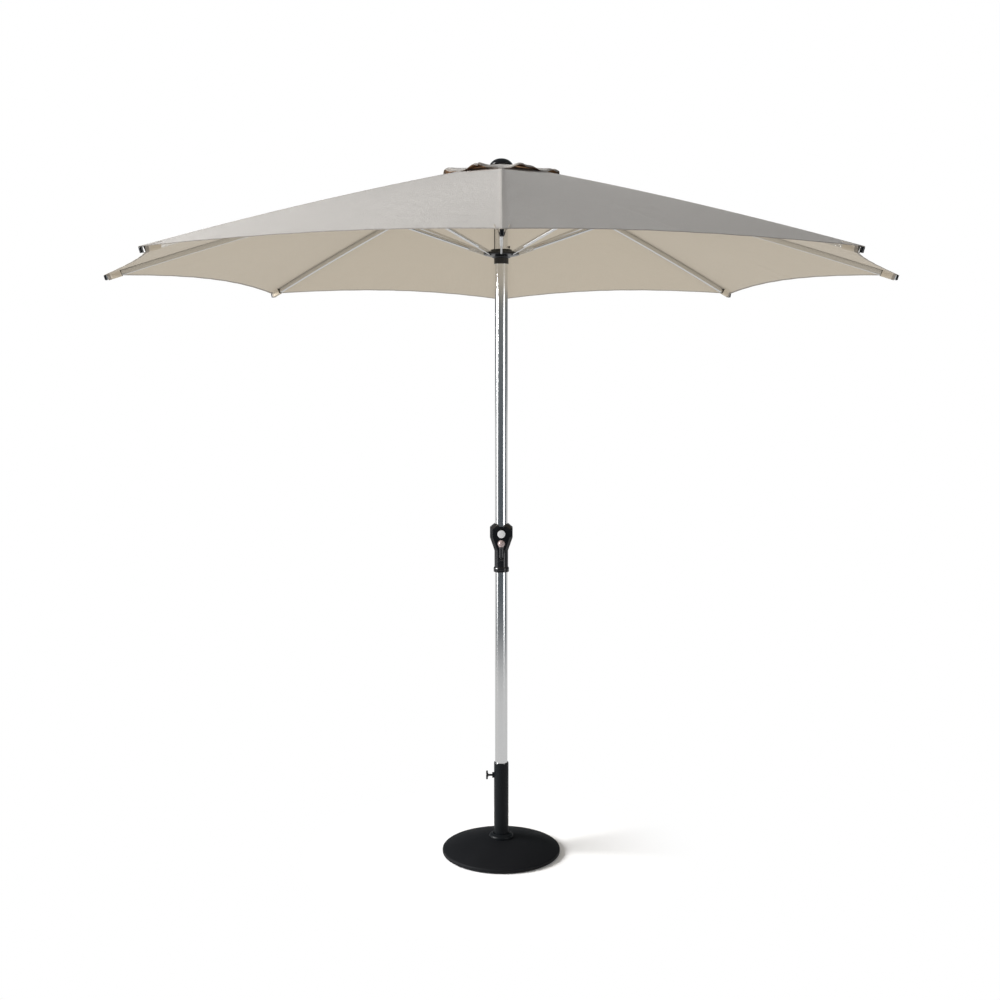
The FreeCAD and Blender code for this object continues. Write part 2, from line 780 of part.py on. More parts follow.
# z is counted from the rib pins.
def make_top_hub():
    skirt = POLE + " + hub_wall"
    top = "hub_lug_above"
    body = turned("top_hub", [
        (POLE, "-hub_rise - hub_skirt"),
        (skirt, "-hub_rise - hub_skirt"),
        (skirt, "-hub_lug_below - 6"),
        ("hub_lug_radius - 4", "-hub_lug_below"),
        ("hub_lug_radius", "-hub_lug_below + 4"),
        ("hub_lug_radius", "hub_lug_above - 4"),
        ("hub_lug_radius - 4", top),
        ("finial_stem", top),
        ("finial_stem", "0"),
        (BORE, "0"),
        (BORE, "-hub_rise"),
        (POLE, "-hub_rise"),
    ])
    slot_floor = "hub_pin_radius - rib_depth / 2 - 2"
    radial_slot(body, slot_floor, "hub_lug_radius + 5", "rib_width + 2 * side_gap",
                "-hub_lug_below - 10", "hub_lug_above + 1")
    holes = new_sketch(body, "XZ_Plane")
    draw_circle(holes, "hub_pin_radius", "0", "pin_radius + running_gap")
    pin_holes = pocket(body, holes, "2 * (hub_pin_reach + running_gap)", both_ways=True)
    round_pattern(body, pin_holes, "rib_count")
    cord_slot = new_sketch(body, "XY_Plane", "-hub_rise + pulley_rise + pulley_radius + cord_diameter + 2")
    draw(cord_slot, rectangle("-(" + CORD_OUT + " + cord_diameter + 1)", "-pulley_width / 2 - 0.5",
                              "0", "pulley_width / 2 + 0.5"))
    pocket(body, cord_slot, "2 * (hub_rise + hub_skirt)")
    through_hole(body, "XZ_Plane", "-(" + PULLEY_ACROSS + ")", "-hub_rise + pulley_rise",
                 "pulley_pin_radius + running_gap", "2 * pole_diameter")
    finish_part(body, "top_hub", at(0, 0, value(HUB_PIN), UP, 0))

    # eight rib pins and the pulley's pin
    pins = []
    for number in range(int(value("rib_count"))):
        pin = rod("hub_pin", "pin_radius", "-hub_pin_reach", "hub_pin_reach")
        angle = number * RIB_STEP
        spot = FreeCAD.Rotation(UP, angle).multVec(FreeCAD.Vector(value("hub_pin_radius"), 0, 0))
        pin.Placement = FreeCAD.Placement(spot, FreeCAD.Rotation(UP, angle) * FreeCAD.Rotation(OUT, 90))
        pins.append(pin)
    pulley_pin = rod("pulley_pin", "pulley_pin_radius", "-pulley_width / 2 - 6", "pulley_width / 2 + 6")
    pulley_pin.Placement = at(-value(PULLEY_ACROSS), 0, value("-hub_rise + pulley_rise"), OUT, 90)
    pins.append(pulley_pin)
    finish_part(grouped("hub_pins", pins), "hub_pins", at(0, 0, value(HUB_PIN)))


def make_pulley():
    groove = "pulley_radius - cord_diameter / 2"
    wheel = turned("top_pulley", [
        ("pulley_pin_radius + running_gap", "-pulley_width / 2"),
        ("pulley_radius + 1", "-pulley_width / 2"),
        ("pulley_radius + 1", "-pulley_width / 2 + 0.8"),
        (groove, "-cord_diameter / 2 - 0.1"),
        (groove, "cord_diameter / 2 + 0.1"),
        ("pulley_radius + 1", "pulley_width / 2 - 0.8"),
        ("pulley_radius + 1", "pulley_width / 2"),
        ("pulley_pin_radius + running_gap", "pulley_width / 2"),
    ])
    place = at(-value(PULLEY_ACROSS), 0, value(PULLEY_HEIGHT), OUT, 90)
    finish_part(wheel, "top_pulley", place)


# The cord leaves the spool, climbs inside the pole, turns over the pulley and comes down
# outside the pole to the runner. Its axis lies in the XZ plane.
def make_lift_cord():
    radius = value("cord_diameter") / 2
    wound = value("drum_radius") + 1.5 * value("cord_diameter") + 0.2
    turn = value("pulley_radius") + 0.15
    low = FreeCAD.Vector(0, 0, value(CRANK_HEIGHT))
    high = FreeCAD.Vector(-value(PULLEY_ACROSS), 0, value(PULLEY_HEIGHT))
    span = high - low
    lean = math.atan2(span.x, span.z)
    swing = math.asin((wound - turn) / span.Length)
    side = lean - swing
    normal = FreeCAD.Vector(math.cos(side), 0, -math.sin(side))
    start = low + normal * wound
    meet = high + normal * turn
    top = high + FreeCAD.Vector(0, 0, turn)
    leave = high - FreeCAD.Vector(turn, 0, 0)
    end = FreeCAD.Vector(leave.x, 0, value(RUNNER_PIN + " + runner_block_above + running_gap"))
    middle = high + (normal * turn + FreeCAD.Vector(0, 0, turn)).normalize() * turn
    past = high + FreeCAD.Vector(-turn, 0, turn).normalize() * turn
    path = Part.Wire([
        Part.LineSegment(start, meet).toShape(),
        Part.Arc(meet, middle, top).toShape(),
        Part.Arc(top, past, leave).toShape(),
        Part.LineSegment(leave, end).toShape(),
    ])
    section = Part.Wire([Part.Circle(start, meet - start, radius).toShape()])
    cord = doc.addObject("Part::Feature", "lift_cord")
    cord.Shape = path.makePipeShell([section], True, True)
    expected = math.pi * radius ** 2 * path.Length
    print("lift cord: length %.1f mm, volume %.4f of its section times its length"
          % (path.Length, cord.Shape.Volume / expected))
    finish_part(cord, "lift_cord", cord.Placement)


def make_finial():
    rim = "finial_height * 0.3"
    cap = turned("finial", [
        ("0", "-hub_lug_above + 4"),
        ("finial_stem - 0.2", "-hub_lug_above + 4"),
        ("finial_stem - 0.2", "2"),
        ("finial_stem + 4", "2"),
        ("finial_radius - 8", rim + " - 4"),
        ("finial_radius - 2", rim + " - 4", "3.5"),
        ("finial_radius", rim, "44"),
        ("finial_radius * 0.35", "finial_height", "60"),
        ("3", "finial_height + 0.8"),
        ("0", "finial_height + 0.8"),
    ])
    finish_part(cap, "finial", at(0, 0, value(HUB_PIN + " + hub_lug_above")))


# ---------------------------------------------------------------- ribs

STRUT_DROP = "(rib_depth / 2 + strut_diameter / 2 + strut_clear)"
BOW_RADIUS = "(rib_length ^ 2 / (8 * rib_bow) + rib_bow / 2)"
BOW_ANGLE = "2 * asin(rib_length / 2 / " + BOW_RADIUS + ")"


# A rib bends down along an arc; this is the frame of a point on it, from the hub pin,
# with X along the rib, outwards. The first point of the arc is on the pin.
def rib_frame(azimuth, along):
    radius = value(BOW_RADIUS)
    slope = value("rib_slope") - value(BOW_ANGLE) / 2
    start = FreeCAD.Placement(
        FreeCAD.Rotation(UP, azimuth).multVec(FreeCAD.Vector(value("hub_pin_radius"), 0, 0))
        + FreeCAD.Vector(0, 0, value(HUB_PIN)),
        FreeCAD.Rotation(UP, azimuth) * FreeCAD.Rotation(ACROSS, slope),
    )
    bend = FreeCAD.Rotation(ACROSS, math.degrees(along / radius))
    spot = bend.multVec(FreeCAD.Vector(0, 0, radius)) - FreeCAD.Vector(0, 0, radius)
    return start * FreeCAD.Placement(spot, bend)


def rib_arc():
    return value(BOW_RADIUS) * math.radians(value(BOW_ANGLE))


def make_rib(label, azimuth):
    body = new_body(label)
    sketch = new_sketch(body, "YZ_Plane")
    half_width = "rib_width / 2"
    half_depth = "rib_depth / 2"
    for inset in ("0", "rib_wall"):
        draw(sketch, rectangle(
            "-" + half_width + " + " + inset, "-" + half_depth + " + " + inset + " + " + BOW_RADIUS,
            half_width + " - " + inset, half_depth + " - " + inset + " + " + BOW_RADIUS))
    sweep = body.newObject("PartDesign::Revolution", label + "_bent")
    sweep.Profile = sketch
    sweep.ReferenceAxis = (sketch, ["H_Axis"])
    start_angle = "rib_start / " + BOW_RADIUS + " * 180 deg / pi"
    bind(sweep, "Angle", BOW_ANGLE + " - " + start_angle)
    frame = rib_frame(azimuth, value("rib_start"))
    drop = FreeCAD.Placement(FreeCAD.Vector(0, 0, -value(BOW_RADIUS)), FreeCAD.Rotation())
    return finish_part(body, label, frame * drop)


# Three black mouldings on a rib: the eye at the hub, the strut's bracket and the end cap.
def make_rib_fittings(label, azimuth):
    inner_width = "rib_width - 2 * rib_wall - 2 * push_gap"
    inner_depth = "rib_depth - 2 * rib_wall - 2 * push_gap"
    eye = new_body("rib_eye")
    sketch = new_sketch(eye, "XZ_Plane")
    draw(sketch, [
        ("0", "-rib_depth / 2 + 0.5"),
        ("rib_start - 0.2", "-rib_depth / 2 + 0.5"),
        ("rib_start - 0.2", "rib_depth / 2 - 0.5"),
        ("0", "rib_depth / 2 - 0.5", "rib_depth / 2 - 0.499"),
    ])
    pad(eye, sketch, "rib_width", both_ways=True)
    tongue = new_sketch(eye, "XZ_Plane")
    draw(tongue, rectangle("rib_start - 1", "-(" + inner_depth + ") / 2", "rib_start + 25",
                           "(" + inner_depth + ") / 2"))
    pad(eye, tongue, inner_width, both_ways=True)
    through_hole(eye, "XZ_Plane", "0", "0", "pin_radius + running_gap", "3 * rib_width")
    eye.Placement = rib_frame(azimuth, 0)

    # the bracket is a saddle round the rib, with two cheeks below for the strut's pin
    bracket = new_body("strut_bracket")
    sketch = new_sketch(bracket, "XZ_Plane")
    half = "bracket_length / 2"
    ear = "strut_diameter / 2 + 1"
    draw(sketch, [
        ("-" + half, "-rib_depth / 2 + 2"),
        ("-(" + ear + ")", "-" + STRUT_DROP, ear + HALF_ROUND),
        (ear, "-" + STRUT_DROP),
        (half, "-rib_depth / 2 + 2"),
        (half, "rib_depth / 2 - 3"),
        ("-" + half, "rib_depth / 2 - 3"),
    ])
    pad(bracket, sketch, "rib_width + 2 * bracket_wall", both_ways=True)
    inside = new_sketch(bracket, "YZ_Plane")
    draw(inside, rectangle("-rib_width / 2 - push_gap", "-rib_depth / 2 - push_gap",
                           "rib_width / 2 + push_gap", "rib_depth"))
    pocket(bracket, inside, "4 * bracket_length", both_ways=True)
    gap = new_sketch(bracket, "YZ_Plane")
    draw(gap, rectangle("-rib_width / 2 + 1", "-" + STRUT_DROP + " - strut_diameter",
                        "rib_width / 2 - 1", "-rib_depth / 2 - 1.6"))
    pocket(bracket, gap, "4 * bracket_length", both_ways=True)
    through_hole(bracket, "XZ_Plane", "0", "-" + STRUT_DROP, "pin_radius + running_gap",
                 "3 * rib_width")
    bracket.Placement = rib_frame(azimuth, strut_joint_arc())

    cap = new_body("rib_cap")
    outside = new_sketch(cap, "YZ_Plane")
    draw(outside, rectangle("-rib_width / 2", "-rib_depth / 2", "rib_width / 2", "rib_depth / 2"))
    nose = pad(cap, outside, "rib_cap_length")
    doc.recompute()
    tip_edges = [
        "Edge%d" % (number + 1)
        for number, edge in enumerate(nose.Shape.Edges)
        if edge.BoundBox.XMin > 0.5 * value("rib_cap_length")
    ]
    rounded = cap.newObject("PartDesign::Fillet", "rib_cap_rounded")
    rounded.Base = (nose, tip_edges)
    bind(rounded, "Radius", "min(rib_cap_length; rib_width / 2) * 0.6")
    plug = new_sketch(cap, "YZ_Plane")
    draw(plug, rectangle("-(" + inner_width + ") / 2", "-(" + inner_depth + ") / 2",
                         "(" + inner_width + ") / 2", "(" + inner_depth + ") / 2"))
    inward = pad(cap, plug, "25")
    inward.Reversed = True
    cap.Placement = rib_frame(azimuth, rib_arc())
    return finish_part(grouped(label, [eye, bracket, cap]), label)


# ---------------------------------------------------------------- struts and runner

def strut_joint_arc():
    return value("strut_joint") * rib_arc() / value("rib_length")


def strut_joint_point(azimuth):
    return rib_frame(azimuth, strut_joint_arc()).multVec(FreeCAD.Vector(0, 0, -value(STRUT_DROP)))


# Where the runner's pins sit, so that the open struts just reach them.
joint = strut_joint_point(0)
reach = joint.x - value("runner_pin_radius")
runner_drop = math.sqrt(value("strut_length") ** 2 - reach ** 2)
strut_slope = math.degrees(math.atan2(runner_drop, reach))
dimensions["runner_pin_height"] = joint.z - runner_drop
add_cell(len(dimensions), "runner_pin_height", dimensions["runner_pin_height"])
doc.recompute()
RUNNER_PIN = "runner_pin_height"


# A strut runs from the runner's pin, its own origin, along +X to the pin on the rib.
def make_strut(label, azimuth):
    body = new_body(label)
    sketch = new_sketch(body, "YZ_Plane", "lower_tongue")
    draw_circle(sketch, "0", "0", "strut_diameter / 2")
    pad(body, sketch, "strut_length - lower_tongue - upper_tongue")
    bore = new_sketch(body, "YZ_Plane", "lower_tongue + tube_plug")
    draw_circle(bore, "0", "0", "strut_diameter / 2 - strut_wall")
    pocket(body, bore, "strut_length - lower_tongue - upper_tongue - 2 * tube_plug", reversed_way=True)
    tongue = new_sketch(body, "XZ_Plane")
    half = "strut_diameter / 2"
    draw(tongue, [
        ("0", "-" + half),
        ("lower_tongue + 2", "-" + half),
        ("lower_tongue + 2", half),
        ("0", half, half + HALF_ROUND),
    ])
    pad(body, tongue, "tongue_thickness", both_ways=True)
    tongue = new_sketch(body, "XZ_Plane")
    draw(tongue, [
        ("strut_length", half),
        ("strut_length - upper_tongue - 2", half),
        ("strut_length - upper_tongue - 2", "-" + half),
        ("strut_length", "-" + half, half + HALF_ROUND),
    ])
    pad(body, tongue, "tongue_thickness", both_ways=True)
    for along, length in (("0", "2 * pin_reach"), ("strut_length", "rib_width + 2 * bracket_wall")):
        pin = new_sketch(body, "XZ_Plane")
        draw_circle(pin, along, "0", "pin_radius")
        pad(body, pin, length, both_ways=True)
    low = FreeCAD.Rotation(UP, azimuth).multVec(FreeCAD.Vector(value("runner_pin_radius"), 0, 0))
    place = FreeCAD.Placement(
        low + FreeCAD.Vector(0, 0, value(RUNNER_PIN)),
        FreeCAD.Rotation(UP, azimuth) * FreeCAD.Rotation(ACROSS, -strut_slope),
    )
    return finish_part(body, label, place)


# z is counted from the strut pins. The slots are open outwards and downwards.
def make_runner():
    bore = POLE + " + seat_gap"
    sleeve = bore + " + runner_wall"
    body = turned("runner_body", [
        (bore, "-runner_sleeve_below"),
        (sleeve, "-runner_sleeve_below"),
        (sleeve, "-runner_dish - 4", "9"),
        (sleeve + " + 8", "-runner_dish"),
        ("runner_radius - 2", "-runner_flange / 2 - 2.5"),
        ("runner_radius", "-runner_flange / 2"),
        ("runner_radius", "runner_flange / 2"),
        ("runner_radius - 2", "runner_flange / 2 + 1"),
        ("runner_block_radius + 3", "-runner_flange / 2 + 3"),
        ("runner_block_radius", "0"),
        ("runner_block_radius", "runner_block_above - 3", "3.2"),
        ("runner_block_radius - 3", "runner_block_above"),
        (bore, "runner_block_above"),
    ])
    slot_floor = "runner_pin_radius - strut_diameter / 2 - 1.5"
    radial_slot(body, slot_floor, "runner_radius + 5", "tongue_thickness + 2 * side_gap",
                "-runner_sleeve_below", "runner_block_above + 1")
    # the pins drop out of open notches in the lugs when the struts swing down
    notch = new_sketch(body, "XY_Plane", "pin_radius + running_gap")
    draw(notch, rectangle("runner_pin_radius - pin_radius - 0.3", "-pin_reach - 0.3",
                          "runner_pin_radius + pin_radius + notch_play", "pin_reach + 0.3"))
    round_pattern(body, pocket(body, notch, "runner_sleeve_below"), "rib_count")
    height = value(RUNNER_PIN)

    knob = turned("runner_knob", [
        ("0", "0"),
        ("knob_stem_radius", "0"),
        ("knob_stem_radius", "knob_stand - knob_ball_radius"),
        ("knob_ball_radius - 1", "knob_stand - knob_ball_radius"),
        ("knob_ball_radius", "knob_stand - knob_ball_radius + 1"),
        ("knob_ball_radius", "knob_stand + knob_ball_radius - 1.5", "3"),
        ("knob_ball_radius - 1.5", "knob_stand + knob_ball_radius"),
        ("0", "knob_stand + knob_ball_radius"),
    ])
    across = value(sleeve + " + knob_ball_radius - 2")
    knob.Placement = at(across, 0, value("runner_block_above"))
    finish_part(grouped("runner_group", [body, knob]), "runner", at(0, 0, height))


# ---------------------------------------------------------------- canopy

CANOPY = "hub_pin_radius + rib_length * cos(rib_slope * 1 deg) + hem_overhang"

# One piece of the canopy is centred on a rib and ends half-way to its neighbours. Between
# two ribs the fabric is straight across, so each half of the piece is a curved strip,
# seen from its gore's middle, and cut to a wedge. The halves meet at the seam on the rib.
def strip(turn, azimuth, stations, thickness):
    squeeze = math.cos(math.radians(RIB_STEP / 2))
    low = [FreeCAD.Vector(x * squeeze, 0, z) for x, z in stations]
    high = [point + FreeCAD.Vector(0, 0, thickness) for point in low]
    if len(stations) == 3:
        edges = [Part.Arc(*low).toShape(), Part.Arc(*high).toShape()]
    else:
        edges = [Part.LineSegment(*low).toShape(), Part.LineSegment(*high).toShape()]
    edges.append(Part.LineSegment(low[0], high[0]).toShape())
    edges.append(Part.LineSegment(low[-1], high[-1]).toShape())
    face = Part.Face(Part.Wire(Part.__sortEdges__(edges)))
    half = stations[-1][0]
    face.translate(FreeCAD.Vector(0, -half, 0))
    solid = face.extrude(FreeCAD.Vector(0, 2 * half, 0))
    solid.rotate(FreeCAD.Vector(), UP, azimuth + turn)
    return solid


# The plan of half a piece: from the rib to the middle of the gore, with a hollow hem.
def half_plan(turn, azimuth, inner, outer, inset, height):
    def polar(radius, angle):
        return FreeCAD.Vector(radius * math.cos(math.radians(angle)),
                              radius * math.sin(math.radians(angle)), 0)

    def tall(face):
        return face.extrude(FreeCAD.Vector(0, 0, height))

    def slit(angle):
        gap = value("seam_gap")
        box = Part.makeBox(3 * outer, gap, height, FreeCAD.Vector(0, -gap / 2, 0))
        box.rotate(FreeCAD.Vector(), UP, angle)
        return box

    middle = azimuth + turn
    other = azimuth + 2 * turn
    squeeze = math.cos(math.radians(RIB_STEP / 2))
    wedge = tall(Part.Face(Part.makePolygon([
        polar(inner * squeeze, middle), polar(inner, azimuth), polar(2 * outer, azimuth),
        polar(2 * outer, middle), polar(inner * squeeze, middle),
    ])))
    hem_middle = polar(outer * squeeze - inset, middle)
    hem = Part.Arc(polar(outer, azimuth), hem_middle, polar(outer, other)).toShape()
    chord = Part.LineSegment(polar(outer, other), polar(outer, azimuth)).toShape()
    bite = tall(Part.Face(Part.Wire([hem, chord])))
    beyond = tall(Part.Face(Part.makePolygon([
        polar(outer, azimuth), polar(3 * outer, azimuth), polar(3 * outer, other),
        polar(outer, other), polar(outer, azimuth),
    ])))
    return wedge.cut(beyond).cut(bite).cut(slit(azimuth)).cut(slit(middle))


def rib_station(radius, lift):
    frame_start = rib_frame(0, 0)
    along = (radius - frame_start.Base.x) / math.cos(math.radians(value("rib_slope")))
    for _ in range(8):
        point = rib_frame(0, along).multVec(FreeCAD.Vector(0, 0, lift))
        along += (radius - point.x) / math.cos(math.radians(value("rib_slope")))
    return (point.x, point.z)


def make_canopy(label, azimuth):
    lift = value("rib_depth / 2 + fabric_gap")
    thickness = value("fabric_thickness")
    outer = value(CANOPY)
    inner = value("canopy_opening")
    stations = [rib_station(radius, lift) for radius in (inner, (inner + outer) / 2, outer)]
    height = 2 * value(HUB_PIN)
    vent_low = rib_station(value("vent_radius"), lift + thickness + value("vent_lift"))
    vent_high = (value("vent_opening"), value(HUB_PIN + " + hub_lug_above + seat_gap"))
    solids = []
    for turn in (-RIB_STEP / 2, RIB_STEP / 2):
        main = strip(turn, azimuth, stations, thickness)
        solids += main.common(half_plan(turn, azimuth, inner, outer, value("hem_inset"), height)).Solids
        vent = strip(turn, azimuth, [vent_high, vent_low], thickness)
        solids += vent.common(half_plan(turn, azimuth, vent_high[0], vent_low[0],
                                        value("vent_inset"), height)).Solids
    cloth = doc.addObject("Part::Feature", label)
    cloth.Shape = Part.makeCompound(solids)
    return finish_part(cloth, label, cloth.Placement)


# ---------------------------------------------------------------- the whole parasol

make_base_plate()
make_base_tube()
make_base_small_parts()
make_lock()
make_poles()
make_housing_half("housing_front", 0, "housing_screw_reach + seat_gap")
make_housing_half("housing_rear", 180, "2 * housing_half_depth")
make_housing_screws()
make_spool()
make_crank_arm()
make_hub_cap()
make_grip()
make_top_hub()
make_pulley()
make_lift_cord()
make_finial()
make_runner()
for number in range(int(value("rib_count"))):
    # the first rib points to the front, and the others follow anticlockwise from above
    azimuth = -90 + number * RIB_STEP
    make_rib("rib_%d" % (number + 1), azimuth)
    make_rib_fittings("rib_fittings_%d" % (number + 1), azimuth)
    make_strut("strut_%d" % (number + 1), azimuth)
    make_canopy("canopy_%d" % (number + 1), azimuth)

doc.recompute()
for item in doc.Objects:
    if "Invalid" in item.State or "Error" in item.State:
        raise RuntimeError("%s didn't compute" % item.Name)
for part in parts:
    if part.Shape.isNull() or not part.Shape.isValid():
        raise RuntimeError("%s has no valid shape" % part.Label)
    if not part.Shape.Solids:
        raise RuntimeError("%s has no solid" % part.Label)

os.makedirs("parts", exist_ok=True)
for part in parts:
    part.Shape.exportStep("parts/%s.step" % part.Label)
print("%d sub-parts" % len(parts))
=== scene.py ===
import bpy
import bmesh
import json
import math
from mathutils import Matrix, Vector


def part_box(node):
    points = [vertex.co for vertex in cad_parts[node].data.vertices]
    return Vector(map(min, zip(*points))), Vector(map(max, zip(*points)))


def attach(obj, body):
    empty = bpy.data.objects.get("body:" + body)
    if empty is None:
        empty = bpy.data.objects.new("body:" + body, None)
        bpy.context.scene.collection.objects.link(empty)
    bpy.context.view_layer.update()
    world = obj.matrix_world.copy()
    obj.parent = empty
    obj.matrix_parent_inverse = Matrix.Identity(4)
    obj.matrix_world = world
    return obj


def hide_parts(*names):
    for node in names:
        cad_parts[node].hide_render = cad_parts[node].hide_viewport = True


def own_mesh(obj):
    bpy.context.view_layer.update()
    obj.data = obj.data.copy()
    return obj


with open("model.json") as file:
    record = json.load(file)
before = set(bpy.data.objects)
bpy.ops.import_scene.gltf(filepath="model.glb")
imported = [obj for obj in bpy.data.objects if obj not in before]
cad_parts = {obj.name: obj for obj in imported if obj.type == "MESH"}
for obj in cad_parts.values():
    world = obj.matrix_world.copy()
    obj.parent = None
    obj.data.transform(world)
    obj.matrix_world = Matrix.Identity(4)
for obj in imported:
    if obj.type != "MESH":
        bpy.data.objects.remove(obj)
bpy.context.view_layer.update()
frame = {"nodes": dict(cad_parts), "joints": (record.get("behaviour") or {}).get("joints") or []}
print("frame loaded")

ribCount = 8
ribStep = 2 * math.pi / ribCount
joints = {joint["name"]: joint for joint in frame["joints"]}
hubPin = Vector(joints["rib_1_fold"]["pos_m"])
hubRadius = math.hypot(hubPin.x, hubPin.y)
smoothAngle = math.radians(60)


def ribAngle(number):
    # rib 1 points to the front, the others follow anticlockwise from above
    return -math.pi / 2 + (number - 1) * ribStep


def newPiece(name, mesh, body, material, replaced=()):
    bpyMesh = bpy.data.meshes.new(name)
    mesh.to_mesh(bpyMesh)
    mesh.free()
    piece = bpy.data.objects.new(name, bpyMesh)
    bpy.context.collection.objects.link(piece)
    piece.data.materials.append(material)
    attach(piece, body)
    if replaced:
        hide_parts(*replaced)
    return piece


def shadeSmooth(piece):
    for face in piece.data.polygons:
        face.use_smooth = True
    bpy.context.view_layer.objects.active = piece
    piece.select_set(True)
    bpy.ops.object.shade_smooth_by_angle(angle=smoothAngle)
    piece.select_set(False)


# shader node groups, each made once

def addNode(tree, kind, **values):
    node = tree.nodes.new(kind)
    for key, value in values.items():
        if hasattr(node, key):
            setattr(node, key, value)
        else:
            node.inputs[key.replace("_", " ")].default_value = value
    return node


def newGroup(name, inputs, outputs):
    group = bpy.data.node_groups.new(name, "ShaderNodeTree")
    for socket, kind, value in inputs:
        made = group.interface.new_socket(name=socket, in_out="INPUT", socket_type=kind)
        if value is not None:
            made.default_value = value
    for socket, kind in outputs:
        group.interface.new_socket(name=socket, in_out="OUTPUT", socket_type=kind)
    return group, group.nodes.new("NodeGroupInput"), group.nodes.new("NodeGroupOutput")


def grainGroup():
    # a fine moulded or powder-coated surface: a height and a slow patchy mask
    group, entry, result = newGroup(
        "fineGrain",
        [("Vector", "NodeSocketVector", None), ("Scale", "NodeSocketFloat", 900.0),
         ("Patch", "NodeSocketFloat", 9.0)],
        [("Height", "NodeSocketFloat"), ("Patches", "NodeSocketFloat")])
    link = group.links.new
    fine = addNode(group, "ShaderNodeTexNoise", Detail=4.0, Roughness=0.62)
    slow = addNode(group, "ShaderNodeTexNoise", Detail=3.0, Roughness=0.55)
    link(entry.outputs["Vector"], fine.inputs["Vector"])
    link(entry.outputs["Scale"], fine.inputs["Scale"])
    link(entry.outputs["Vector"], slow.inputs["Vector"])
    link(entry.outputs["Patch"], slow.inputs["Scale"])
    link(fine.outputs["Fac"], result.inputs["Height"])
    link(slow.outputs["Fac"], result.inputs["Patches"])
    return group


def weaveGroup():
    # plain weave from the cloth's own UV map, which is in metres
    group, entry, result = newGroup(
        "plainWeave",
        [("Vector", "NodeSocketVector", None), ("Threads", "NodeSocketFloat", 1500.0)],
        [("Height", "NodeSocketFloat"), ("Slubs", "NodeSocketFloat")])
    link = group.links.new
    waves = []
    for direction in ("X", "Y"):
        wave = addNode(group, "ShaderNodeTexWave", wave_type="BANDS", bands_direction=direction,
                       Distortion=0.4, Detail=1.0)
        link(entry.outputs["Vector"], wave.inputs["Vector"])
        link(entry.outputs["Threads"], wave.inputs["Scale"])
        waves.append(wave)
    mix = addNode(group, "ShaderNodeMath", operation="MAXIMUM")
    link(waves[0].outputs["Fac"], mix.inputs[0])
    link(waves[1].outputs["Fac"], mix.inputs[1])
    stretch = addNode(group, "ShaderNodeMapping")
    stretch.inputs["Scale"].default_value = (6.0, 220.0, 1.0)
    slub = addNode(group, "ShaderNodeTexNoise", Scale=1.0, Detail=3.0)
    link(entry.outputs["Vector"], stretch.inputs["Vector"])
    link(stretch.outputs["Vector"], slub.inputs["Vector"])
    link(mix.outputs["Value"], result.inputs["Height"])
    link(slub.outputs["Fac"], result.inputs["Slubs"])
    return group


fineGrain = grainGroup()
plainWeave = weaveGroup()


# materials

def startMaterial(name):
    material = bpy.data.materials.new(name)
    material.use_nodes = True
    tree = material.node_tree
    return material, tree, tree.nodes["Principled BSDF"], tree.links.new


def remap(tree, source, low, high):
    node = addNode(tree, "ShaderNodeMapRange")
    node.inputs["To Min"].default_value = low
    node.inputs["To Max"].default_value = high
    tree.links.new(source, node.inputs["Value"])
    return node.outputs["Result"]


def fadeBetween(tree, distance, ends):
    node = addNode(tree, "ShaderNodeMapRange", interpolation_type="SMOOTHSTEP")
    node.inputs["From Min"].default_value = ends[0]
    node.inputs["From Max"].default_value = ends[1]
    tree.links.new(distance, node.inputs["Value"])
    return node.outputs["Result"]


def mixColours(tree, mask, first, second):
    node = addNode(tree, "ShaderNodeMix", data_type="RGBA")
    colours = [socket for socket in node.inputs if socket.type == "RGBA"]
    for socket, source in zip(colours, (first, second)):
        if isinstance(source, tuple):
            socket.default_value = (*source, 1)
        else:
            tree.links.new(source, socket)
    tree.links.new(mask, node.inputs[0])
    return next(socket for socket in node.outputs if socket.type == "RGBA")


def maths(tree, operation, *values):
    node = addNode(tree, "ShaderNodeMath", operation=operation)
    for number, value in enumerate(values):
        if isinstance(value, (int, float)):
            node.inputs[number].default_value = value
        else:
            tree.links.new(value, node.inputs[number])
    return node.outputs["Value"]


def readAttribute(tree, name):
    return addNode(tree, "ShaderNodeAttribute", attribute_name=name).outputs["Fac"]


def grainyMaterial(name, look):
    # plastics, powder coat, concrete, rubber and the small metal pieces share this build
    material, tree, shader, link = startMaterial(name)
    place = addNode(tree, "ShaderNodeTexCoord")
    grain = addNode(tree, "ShaderNodeGroup", node_tree=fineGrain)
    grain.inputs["Scale"].default_value = look["grainScale"]
    grain.inputs["Patch"].default_value = look["patchScale"]
    link(place.outputs["Object"], grain.inputs["Vector"])
    patches = grain.outputs["Patches"]
    link(mixColours(tree, patches, look["dark"], look["light"]), shader.inputs["Base Color"])
    link(remap(tree, patches, look["roughLow"], look["roughHigh"]), shader.inputs["Roughness"])
    bump = addNode(tree, "ShaderNodeBump", Strength=look["bump"], Distance=look["depth"])
    link(grain.outputs["Height"], bump.inputs["Height"])
    link(bump.outputs["Normal"], shader.inputs["Normal"])
    shader.inputs["Specular IOR Level"].default_value = look.get("specular", 0.5)
    shader.inputs["Metallic"].default_value = look.get("metal", 0.0)
    shader.inputs["Coat Weight"].default_value = look.get("coat", 0.0)
    return material


